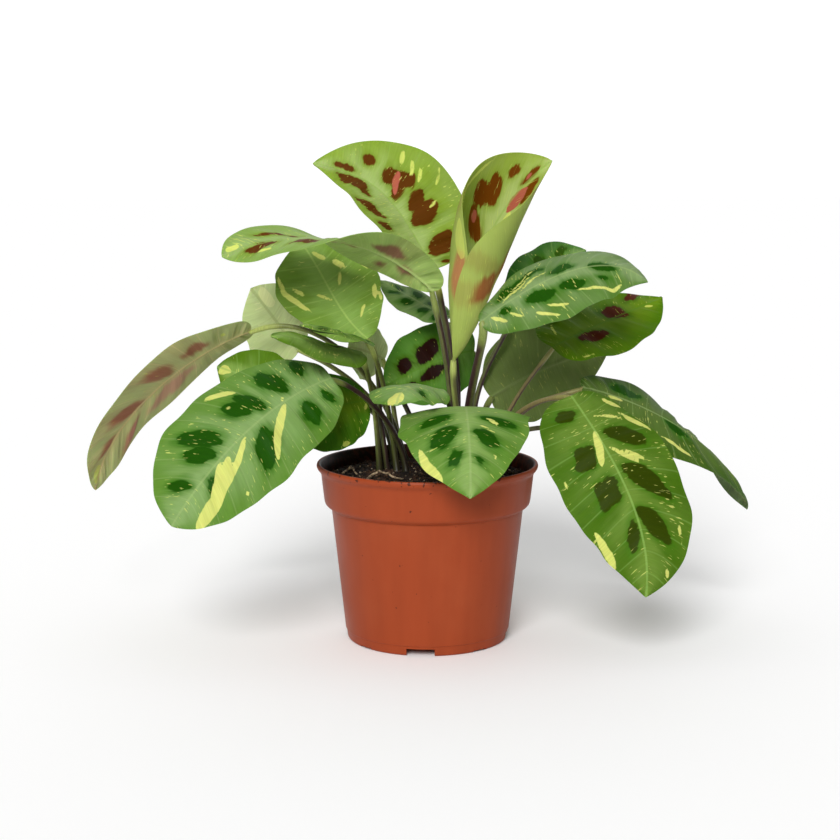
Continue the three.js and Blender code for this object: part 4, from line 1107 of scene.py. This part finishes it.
def crumb_tree():
    """Strews crumbs and short fibres over the flat-lying faces, and keeps the ground itself."""
    tree, start, end = geometry_tree("soil crumbs", (
        ("Size", "NodeSocketFloat"), ("Density", "NodeSocketFloat"), ("Seed", "NodeSocketInt"),
        ("Lowest", "NodeSocketFloat"), ("Ground", "NodeSocketMaterial"),
        ("Crumb", "NodeSocketMaterial"), ("Fibre", "NodeSocketMaterial"),
        ("Chip", "NodeSocketMaterial")))
    given = start.outputs
    height = add(tree, "ShaderNodeSeparateXYZ", {
        0: add(tree, "GeometryNodeInputPosition").outputs[0]}).outputs[2]
    top = add(tree, "FunctionNodeCompare", {0: height, 1: given["Lowest"]},
              operation="GREATER_THAN")
    spread = add(tree, "GeometryNodeDistributePointsOnFaces", {
        "Mesh": given["Geometry"], "Selection": top.outputs[0], "Density": given["Density"],
        "Seed": given["Seed"]})
    lump = add(tree, "GeometryNodeMeshIcoSphere", {"Radius": given["Size"], "Subdivisions": 1})
    turn = add(tree, "FunctionNodeRandomValue", {0: (0, 0, 0), 1: (6.28, 6.28, 6.28), 8: 3},
               data_type="FLOAT_VECTOR")
    shape = add(tree, "FunctionNodeRandomValue", {0: (0.2, 0.2, 0.15), 1: (1.0, 0.8, 0.6), 8: 5},
                data_type="FLOAT_VECTOR")
    crumbs = add(tree, "GeometryNodeInstanceOnPoints", {
        "Points": spread.outputs[0], "Instance": lump.outputs[0],
        "Rotation": turn.outputs[0], "Scale": shape.outputs[0]})
    loose = add(tree, "GeometryNodeRealizeInstances", {0: crumbs.outputs[0]})
    crumbs = add(tree, "GeometryNodeSetMaterial", {
        0: loose.outputs[0], "Material": given["Crumb"]})
    sparse = add(tree, "ShaderNodeMath", {0: given["Density"], 1: 0.035}, operation="MULTIPLY")
    strewn = add(tree, "GeometryNodeDistributePointsOnFaces", {
        "Mesh": given["Geometry"], "Selection": top.outputs[0], "Density": sparse.outputs[0],
        "Seed": given["Seed"]})
    thread = add(tree, "GeometryNodeCurveArc", {
        "Resolution": 7, "Radius": 4.5 * MM, "Sweep Angle": 1.3})
    thin = add(tree, "GeometryNodeCurvePrimitiveCircle", {"Resolution": 5, "Radius": 0.16 * MM})
    hair = add(tree, "GeometryNodeCurveToMesh", {
        "Curve": thread.outputs[0], "Profile Curve": thin.outputs[0], "Fill Caps": True})
    middle = add(tree, "GeometryNodeTransform", {
        0: hair.outputs[0], "Translation": (-3.6 * MM, -2.4 * MM, 0.5 * MM)})
    lie = add(tree, "FunctionNodeRandomValue", {0: (-0.35, -0.35, 0), 1: (0.35, 0.35, 6.28), 8: 9},
              data_type="FLOAT_VECTOR")
    length = add(tree, "FunctionNodeRandomValue", {0: (0.4, 0.4, 0.4), 1: (1.3, 1.3, 1), 8: 11},
                 data_type="FLOAT_VECTOR")
    fibres = add(tree, "GeometryNodeInstanceOnPoints", {
        "Points": strewn.outputs[0], "Instance": middle.outputs[0],
        "Rotation": lie.outputs[0], "Scale": length.outputs[0]})
    free = add(tree, "GeometryNodeRealizeInstances", {0: fibres.outputs[0]})
    fibres = add(tree, "GeometryNodeSetMaterial", {0: free.outputs[0], "Material": given["Fibre"]})
    many = add(tree, "ShaderNodeMath", {0: given["Density"], 1: 0.11}, operation="MULTIPLY")
    scattered = add(tree, "GeometryNodeDistributePointsOnFaces", {
        "Mesh": given["Geometry"], "Selection": top.outputs[0], "Density": many.outputs[0],
        "Seed": 17})
    splinter = add(tree, "FunctionNodeRandomValue", {
        0: (0.2, 0.15, 0.3), 1: (0.9, 0.4, 0.5), 8: 13}, data_type="FLOAT_VECTOR")
    chips = add(tree, "GeometryNodeInstanceOnPoints", {
        "Points": scattered.outputs[0], "Instance": lump.outputs[0],
        "Rotation": turn.outputs[0], "Scale": splinter.outputs[0]})
    parted = add(tree, "GeometryNodeRealizeInstances", {0: chips.outputs[0]})
    chips = add(tree, "GeometryNodeSetMaterial", {0: parted.outputs[0], "Material": given["Chip"]})
    ground = add(tree, "GeometryNodeSetMaterial", {
        0: given["Geometry"], "Material": given["Ground"]})
    joined = tree.nodes.new("GeometryNodeJoinGeometry")
    for part in (ground, crumbs, fibres, chips):
        tree.links.new(part.outputs[0], joined.inputs[0])
    tree.links.new(joined.outputs[0], end.inputs[0])
    return tree


def peat_material(name, dark, light):
    """Damp peat: dark, crumbly and dull, with a few lighter fibres pressed into it."""
    material, tree = new_material(name)
    place = add(tree, "ShaderNodeTexCoord").outputs["Object"]
    grains = add(tree, "ShaderNodeTexNoise", {0: place, "Scale": 420, "Detail": 5})
    patches = add(tree, "ShaderNodeTexNoise", {0: place, "Scale": 75, "Detail": 2})
    share = add(tree, "ShaderNodeMath", {0: grains.outputs[0], 1: patches.outputs[0]},
                operation="MULTIPLY")
    lit = add(tree, "ShaderNodeMapRange", {0: share.outputs[0], 1: 0.2, 2: 0.42})
    colour = add(tree, "ShaderNodeMix", {0: lit.outputs[0], 6: dark, 7: light}, data_type="RGBA")
    bump = add(tree, "ShaderNodeBump", {
        "Strength": 0.8, "Distance": 0.8 * MM, "Height": grains.outputs[0]})
    matter = add(tree, "ShaderNodeBsdfPrincipled", {
        "Base Color": colour.outputs[2], "Roughness": 0.9, "Normal": bump.outputs[0],
        "Specular IOR Level": 0.3})
    add(tree, "ShaderNodeOutputMaterial", {"Surface": matter.outputs[0]})
    return material


def root_material(name, colour):
    """A dry root or chip: pale, papery bark with darker dirt in its hollows."""
    material, tree = new_material(name)
    place = add(tree, "ShaderNodeTexCoord").outputs["Object"]
    dirt = add(tree, "ShaderNodeTexNoise", {0: place, "Scale": 500, "Detail": 4})
    share = add(tree, "ShaderNodeMapRange", {0: dirt.outputs[0], 1: 0.42, 2: 0.62})
    bark = add(tree, "ShaderNodeMix", {0: share.outputs[0], 6: linear("#5A4632"), 7: colour},
               data_type="RGBA")
    bump = add(tree, "ShaderNodeBump", {
        "Strength": 0.6, "Distance": 0.3 * MM, "Height": dirt.outputs[0]})
    matter = add(tree, "ShaderNodeBsdfPrincipled", {
        "Base Color": bark.outputs[2], "Roughness": 0.8, "Normal": bump.outputs[0]})
    add(tree, "ShaderNodeOutputMaterial", {"Surface": matter.outputs[0]})
    return material


class PLANT_OT_soil(bpy.types.Operator):
    """Makes the soil with its crumbs and fibres"""

    bl_idname = "plant.soil"
    bl_label = "Potting soil"

    def execute(self, context):
        settings = context.scene.plant_soil
        points, faces = soil_body()
        piece = mesh_piece("potting_soil", points, faces)
        ground = peat_material("damp_peat", tuple(settings.peat), tuple(settings.crumb))
        crumb = peat_material("peat_crumbs", tuple(settings.peat), linear("#5C402B"))
        run_tree(piece, crumb_tree(), {
            "Size": settings.crumb_size, "Density": settings.crumb_density, "Seed": 4,
            "Lowest": 84 * MM, "Ground": ground, "Crumb": crumb,
            "Fibre": root_material("peat_fibre", linear("#8C7458")),
            "Chip": root_material("bark_chip", linear("#C8B496"))})
        smooth(piece.data, 45)
        finish_piece(piece, "potting_soil", "soil")
        return {"FINISHED"}


# Dry roots on the soil: the way each one runs in plan, its radius and how high it arches.
DRY_ROOTS = {
    "front": {"plan": ((-32, -18), (-26, -10), (-20, -19), (-13, -16)), "radius": 0.8, "rise": 3},
    "left": {"plan": ((-46, 2), (-42, 10), (-40, 2), (-36, -6)), "radius": 0.7, "rise": 2.4},
}


class PLANT_OT_roots(bpy.types.Operator):
    """Makes the dry roots that lie on the soil"""

    bl_idname = "plant.roots"
    bl_label = "Dry roots"

    def execute(self, context):
        material = root_material("dry_root_bark", tuple(context.scene.plant_soil.root))
        tree = bpy.data.node_groups["leaf stalk"]
        for name, root in DRY_ROOTS.items():
            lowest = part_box(f"dry_root_{name}")[0][2] / MM
            t = np.linspace(0, 1, 33)
            plan = [(x, y, 0) for x, y in root["plan"]]
            path, _ = through(plan, t)
            crook = 0.5 * np.sin(23 * t) + 0.3 * np.sin(41 * t + 1)
            path[:, 2] = lowest + root["radius"] + root["rise"] * np.sin(np.pi * t)
            path[:, 2] += np.clip(crook, 0, 1) * np.sin(np.pi * t)
            path[:, 1] += crook * np.sin(np.pi * t)
            piece = mesh_piece(f"root_{name}", path, [])
            piece.data.edges.add(len(path) - 1)
            links = [k + d for k in range(len(path) - 1) for d in (0, 1)]
            piece.data.edges.foreach_set("vertices", links)
            run_tree(piece, tree, {
                "Radius": root["radius"] * MM, "Thinning": 0.45, "Swelling": 0.0, "Sides": 9,
                "Material": material})
            finish_piece(piece, "dry_root", f"dry_root_{name}")
        return {"FINISHED"}


# The pot's wall from the middle of its floor, out and up the outside, over the lip and down
# inside, in millimetres from the axis and the ground; the last number rounds the corner.
POT_OUTLINE = (
    (0, 3.4, 0), (40.4, 3.4, 0.3), (41, 0, 0.3), (42.8, 0, 0.6), (43.6, 0.9, 0.6),
    (44.2, 5.4, 0.2), (44.6, 5.6, 0.1), (44.7, 6.1, 0.2), (52, 72.1, 0.3), (52.3, 72.4, 0.2),
    (53.6, 73.1, 0.8), (55.5, 74.6, 1.2), (56, 77, 1.4), (57.6, 91.5, 2.2), (59.5, 93.6, 1.2),
    (60, 95.2, 0.7), (59.6, 96.3, 0.4), (58.6, 96.5, 0.5), (57.8, 95.9, 0.7), (56, 91.5, 2),
    (54.4, 77, 0.8), (50.4, 74.5, 0.8), (42.7, 6.2, 1), (41.4, 5, 0.6), (0, 5, 0),
)
WIDE_NOTCH = {"angle": -95, "width": 15, "height": 4}
LOW_NOTCH = {"angle": -50, "width": 9, "height": 1}
NOTCH_COUNT = 4
DRAIN = {"radius": 4, "ring": 27, "angle": 45}


def rounded(outline, steps=4):
    """The outline with each corner turned in a short arc."""
    points = []
    corners = [np.array(p[:2], float) for p in outline]
    for k, (at, radius) in enumerate(zip(corners, (p[2] for p in outline))):
        if k in (0, len(corners) - 1) or radius == 0:
            points.append(at)
            continue
        before, after = corners[k - 1] - at, corners[k + 1] - at
        room = 0.45 * min(np.linalg.norm(before), np.linalg.norm(after), radius / 0.45)
        first, last = at + room * unit(before), at + room * unit(after)
        for step in range(steps + 1):
            u = step / steps
            points.append((1 - u) ** 2 * first + 2 * u * (1 - u) * at + u ** 2 * last)
    return points


def turned(profile, segments):
    """The points and faces of a profile turned round the axis, from axis to axis."""
    angles = np.linspace(0, 2 * np.pi, segments, endpoint=False)
    inner = profile[1:-1]
    points = [(0, 0, profile[0][1])]
    for r, z in inner:
        points += [(r * math.cos(a), r * math.sin(a), z) for a in angles]
    points.append((0, 0, profile[-1][1]))
    last = len(points) - 1

    def at(row, k):
        return 1 + row * segments + k % segments

    faces = []
    for k in range(segments):
        faces.append([0, at(0, k + 1), at(0, k)])
        for row in range(len(inner) - 1):
            faces.append([at(row, k), at(row, k + 1), at(row + 1, k + 1), at(row + 1, k)])
        faces.append([at(len(inner) - 1, k), at(len(inner) - 1, k + 1), last])
    return points, faces


def openings_tree():
    """Cuts the notches of the foot ring and the drain holes, each so many times round."""
    tree, start, end = geometry_tree("pot openings", (
        ("Count", "NodeSocketInt"), ("Wide notch", "NodeSocketVector"),
        ("Wide angle", "NodeSocketFloat"), ("Low notch", "NodeSocketVector"),
        ("Low angle", "NodeSocketFloat"), ("Drain radius", "NodeSocketFloat"),
        ("Drain ring", "NodeSocketVector"), ("Drain angle", "NodeSocketFloat"),
        ("Foot", "NodeSocketVector"), ("Material", "NodeSocketMaterial")))
    given = start.outputs
    spots = add(tree, "GeometryNodePoints", {"Count": given["Count"]})
    index = add(tree, "GeometryNodeInputIndex")
    part = add(tree, "ShaderNodeMath", {0: index.outputs[0], 1: given["Count"]},
               operation="DIVIDE")

    def all_round(cutter, angle):
        """The cutter at each of the spots, turned round the pot from this angle."""
        turn = add(tree, "ShaderNodeMath", {0: part.outputs[0], 1: 2 * math.pi, 2: angle},
                   operation="MULTIPLY_ADD")
        turns = add(tree, "ShaderNodeCombineXYZ", {2: turn.outputs[0]})
        return add(tree, "GeometryNodeInstanceOnPoints", {
            "Points": spots.outputs[0], "Instance": cutter, "Rotation": turns.outputs[0]})

    cutters = tree.nodes.new("GeometryNodeJoinGeometry")
    for label in ("Wide", "Low"):
        block = add(tree, "GeometryNodeMeshCube", {"Size": given[f"{label} notch"]})
        moved = add(tree, "GeometryNodeTransform", {
            0: block.outputs[0], "Translation": given["Foot"]})
        ring = all_round(moved.outputs[0], given[f"{label} angle"])
        tree.links.new(ring.outputs[0], cutters.inputs[0])
    drill = add(tree, "GeometryNodeMeshCylinder", {
        "Vertices": 40, "Radius": given["Drain radius"], "Depth": 12 * MM})
    moved = add(tree, "GeometryNodeTransform", {
        0: drill.outputs["Mesh"], "Translation": given["Drain ring"]})
    ring = all_round(moved.outputs[0], given["Drain angle"])
    tree.links.new(ring.outputs[0], cutters.inputs[0])
    whole = add(tree, "GeometryNodeRealizeInstances", {0: cutters.outputs[0]})
    cut = add(tree, "GeometryNodeMeshBoolean", {
        "Mesh 1": given["Geometry"], "Mesh 2": whole.outputs[0]}, operation="DIFFERENCE")
    finished = add(tree, "GeometryNodeSetMaterial", {
        0: cut.outputs[0], "Material": given["Material"]})
    tree.links.new(finished.outputs[0], end.inputs[0])
    return tree


def plastic_material(plastic, scuff):
    """Moulded polypropylene: an even, waxy satin with faint flow marks, scuffs, soil dust, and grime
    with painted shade inside the collar.
    """
    material, tree = new_material("moulded_polypropylene")
    own = add(tree, "ShaderNodeTexCoord").outputs
    place = own["Object"]
    drawn = add(tree, "ShaderNodeMapping", {0: place, 3: (120, 120, 9)})
    flow = add(tree, "ShaderNodeTexNoise", {0: drawn.outputs[0], "Scale": 1, "Detail": 3})
    cloud = add(tree, "ShaderNodeTexNoise", {0: place, "Scale": 28, "Detail": 4})
    dust = add(tree, "ShaderNodeTexNoise", {0: place, "Scale": 330, "Detail": 3})
    grain = add(tree, "ShaderNodeTexNoise", {0: place, "Scale": 2200, "Detail": 1})
    rubbed = add(tree, "ShaderNodeMapRange", {0: cloud.outputs[0], 1: 0.5, 2: 0.78, 4: 0.5})
    colour = add(tree, "ShaderNodeMix", {0: rubbed.outputs[0], 6: plastic, 7: scuff},
                 data_type="RGBA")
    shade = add(tree, "ShaderNodeMapRange", {
        0: flow.outputs[0], 1: 0.3, 2: 0.7, 3: 0.93, 4: 1.05})
    colour = add(tree, "ShaderNodeVectorMath", {0: colour.outputs[2], "Scale": shade.outputs[0]},
                 operation="SCALE")
    # Specks of soil about 1 mm wide stick to it here and there, most of them near the lip.
    height = add(tree, "ShaderNodeSeparateXYZ", {0: place})
    near_lip = add(tree, "ShaderNodeMapRange", {
        0: height.outputs[2], 1: 88 * MM, 2: 96.5 * MM, 3: 0.74, 4: 0.6})
    over = add(tree, "ShaderNodeMath", {0: dust.outputs[0], 1: near_lip.outputs[0]},
               operation="SUBTRACT")
    speck = add(tree, "ShaderNodeMapRange", {0: over.outputs[0], 1: 0.0, 2: 0.025, 4: 0.8})
    dust_and_shade = add(tree, "ShaderNodeMix", {
        0: speck.outputs[0], 6: colour.outputs[0], 7: linear("#2A1710")}, data_type="RGBA")
    # Inside the collar, where the wall faces the axis, it is darkened: partly grime from the soil,
    # partly painted shade in the mouth of the pot.
    level = add(tree, "ShaderNodeVectorMath", {0: place, 1: (1, 1, 0)}, operation="MULTIPLY")
    outwards = add(tree, "ShaderNodeVectorMath", {0: level.outputs[0], 1: own["Normal"]},
                   operation="DOT_PRODUCT").outputs["Value"]
    inside = add(tree, "ShaderNodeMapRange", {0: outwards, 1: -10 * MM, 2: -34 * MM})
    collar = add(tree, "ShaderNodeMapRange", {0: height.outputs[2], 1: 73.2 * MM, 2: 74.2 * MM})
    grime_and_shade = add(tree, "ShaderNodeMath", {0: inside.outputs[0], 1: collar.outputs[0]},
                operation="MULTIPLY")
    patchy = add(tree, "ShaderNodeMapRange", {0: dust.outputs[0], 1: 0.3, 2: 0.6, 3: 0.82, 4: 1.0})
    grime_and_shade = add(tree, "ShaderNodeMath", {0: grime_and_shade.outputs[0], 1: patchy.outputs[0]},
                operation="MULTIPLY")
    dust_and_shade = add(tree, "ShaderNodeMix", {
        0: grime_and_shade.outputs[0], 6: dust_and_shade.outputs[2], 7: linear("#1D0F0A")}, data_type="RGBA")
    rough = add(tree, "ShaderNodeMapRange", {0: cloud.outputs[0], 1: 0.3, 2: 0.7, 3: 0.36, 4: 0.5})
    bump = add(tree, "ShaderNodeBump", {
        "Strength": 0.12, "Distance": 0.1 * MM, "Height": grain.outputs[0]})
    moulded = add(tree, "ShaderNodeBsdfPrincipled", {
        "Base Color": dust_and_shade.outputs[2], "Roughness": rough.outputs[0], "IOR": 1.49,
        "Normal": bump.outputs[0], "Specular IOR Level": 0.14})
    add(tree, "ShaderNodeOutputMaterial", {"Surface": moulded.outputs[0]})
    return material


class PLANT_OT_pot(bpy.types.Operator):
    """Makes the moulded pot with its notches and drain holes"""

    bl_idname = "plant.pot"
    bl_label = "Nursery pot"

    def execute(self, context):
        settings = context.scene.plant_pot
        across, up = settings.rim_radius / MM / 60, settings.height / MM / 96.5
        outline = [(r * across, z * up, bend) for r, z, bend in POT_OUTLINE]
        points, faces = turned(rounded(outline), settings.segments)
        piece = mesh_piece("nursery_pot", points, faces)
        foot = POT_OUTLINE[3][0]
        run_tree(piece, openings_tree(), {
            "Count": NOTCH_COUNT,
            "Wide notch": (12 * MM, WIDE_NOTCH["width"] * MM, 2 * WIDE_NOTCH["height"] * MM),
            "Wide angle": math.radians(WIDE_NOTCH["angle"]),
            "Low notch": (12 * MM, LOW_NOTCH["width"] * MM, 2 * LOW_NOTCH["height"] * MM),
            "Low angle": math.radians(LOW_NOTCH["angle"]),
            "Drain radius": DRAIN["radius"] * MM,
            "Drain ring": (DRAIN["ring"] * MM, 0, POT_FLOOR * MM),
            "Drain angle": math.radians(DRAIN["angle"]),
            "Foot": (foot * MM, 0, 0),
            "Material": plastic_material(tuple(settings.plastic), tuple(settings.scuff))})
        smooth(piece.data, 30)
        finish_piece(piece, "pot_plastic", "pot")
        return {"FINISHED"}


CAMERA_AT = (-4, -1000, 279)
KEY_WAY = (0.22, 1.28, -0.8)  # the way the key light shines: from above, in front and the left


class PLANT_OT_stage(bpy.types.Operator):
    """Makes the floor, the light and the camera"""

    bl_idname = "plant.stage"
    bl_label = "Stage"

    def execute(self, context):
        settings = context.scene.plant_stage
        scene = context.scene
        scene.view_settings.view_transform = "Standard"
        material, tree = new_material("matt_paper_floor")
        paper = add(tree, "ShaderNodeBsdfDiffuse", {"Color": tuple(settings.floor)})
        add(tree, "ShaderNodeOutputMaterial", {"Surface": paper.outputs[0]})
        half = 6000
        corners = [(-half, -half, 0), (half, -half, 0), (half, half, 0), (-half, half, 0)]
        floor = mesh_piece("floor", corners, [[0, 1, 2, 3]], material)
        world = bpy.data.worlds.new("white studio")
        world.use_nodes = True
        world.node_tree.nodes.clear()
        room = world.node_tree
        towards = add(room, "ShaderNodeTexCoord").outputs["Generated"]
        way = add(room, "ShaderNodeSeparateXYZ", {0: towards}).outputs
        flank = add(room, "ShaderNodeMapRange", {
            0: way[0], 1: -0.5, 2: 0.5, 3: 1.5 * settings.fill,
            4: 0.5 * settings.fill}).outputs[0]
        wall = add(room, "ShaderNodeMapRange", {
            0: way[1], 1: 0.5, 2: 0.93, 3: flank, 4: settings.backdrop})
        ceiling = add(room, "ShaderNodeMapRange", {0: way[2], 1: 0.25, 2: 0.85, 4: settings.ceiling})
        strength = add(room, "ShaderNodeMath", {0: wall.outputs[0], 1: ceiling.outputs[0]},
                       operation="ADD")
        sky = add(room, "ShaderNodeBackground", {
            "Color": (1, 1, 1, 1), "Strength": strength.outputs[0]})
        add(room, "ShaderNodeOutputWorld", {"Surface": sky.outputs[0]})
        scene.world = world
        light = bpy.data.lights.new("key", "SUN")
        light.angle = settings.softness
        light.energy = settings.key
        key = bpy.data.objects.new("key", light)
        key.rotation_euler = Vector(KEY_WAY).to_track_quat("-Z", "Y").to_euler()
        scene.collection.objects.link(key)
        lens = bpy.data.cameras.new("camera")
        lens.lens = settings.lens
        lens.sensor_width = 36
        camera = bpy.data.objects.new("camera", lens)
        camera.location = Vector(CAMERA_AT) * MM
        camera.rotation_euler = (math.pi / 2 - settings.tilt, 0, 0)
        scene.collection.objects.link(camera)
        scene.camera = camera
        return {"FINISHED"}


class PLANT_PT_panel(bpy.types.Panel):
    """The plant's pieces, each with its button and its settings"""

    bl_idname = "PLANT_PT_panel"
    bl_label = "Prayer plant"
    bl_space_type = "VIEW_3D"
    bl_region_type = "UI"
    bl_category = "Plant"

    def draw(self, context):
        for title, operators, attribute in (
            ("Pot", (PLANT_OT_pot,), "plant_pot"),
            ("Soil and roots", (PLANT_OT_soil, PLANT_OT_roots), "plant_soil"),
            ("Stalks", (PLANT_OT_stalks,), "plant_stalks"),
            ("Blades", (PLANT_OT_blades,), "plant_blades"),
            ("Stage", (PLANT_OT_stage,), "plant_stage"),
        ):
            box = self.layout.box()
            box.label(text=title)
            settings = getattr(context.scene, attribute)
            for name in settings.bl_rna.properties.keys():
                if name not in ("rna_type", "name"):
                    box.prop(settings, name)
            for operator in operators:
                box.operator(operator.bl_idname)


SETTINGS = {
    "plant_pot": PotSettings, "plant_soil": SoilSettings, "plant_blades": BladeSettings,
    "plant_stalks": StalkSettings, "plant_stage": StageSettings,
}
CLASSES = (*SETTINGS.values(), PLANT_OT_pot, PLANT_OT_soil, PLANT_OT_stalks, PLANT_OT_roots,
           PLANT_OT_blades, PLANT_OT_stage, PLANT_PT_panel)


def register():
    for made in CLASSES:
        bpy.utils.register_class(made)
    for attribute, group in SETTINGS.items():
        setattr(bpy.types.Scene, attribute, bpy.props.PointerProperty(type=group))


def unregister():
    for attribute in SETTINGS:
        delattr(bpy.types.Scene, attribute)
    for made in reversed(CLASSES):
        bpy.utils.unregister_class(made)


def main():
    register()
    bpy.ops.plant.stage()
    bpy.ops.plant.pot()
    bpy.ops.plant.soil()
    bpy.ops.plant.stalks()
    bpy.ops.plant.roots()
    bpy.ops.plant.blades()


if __name__ == "__main__":
    main()
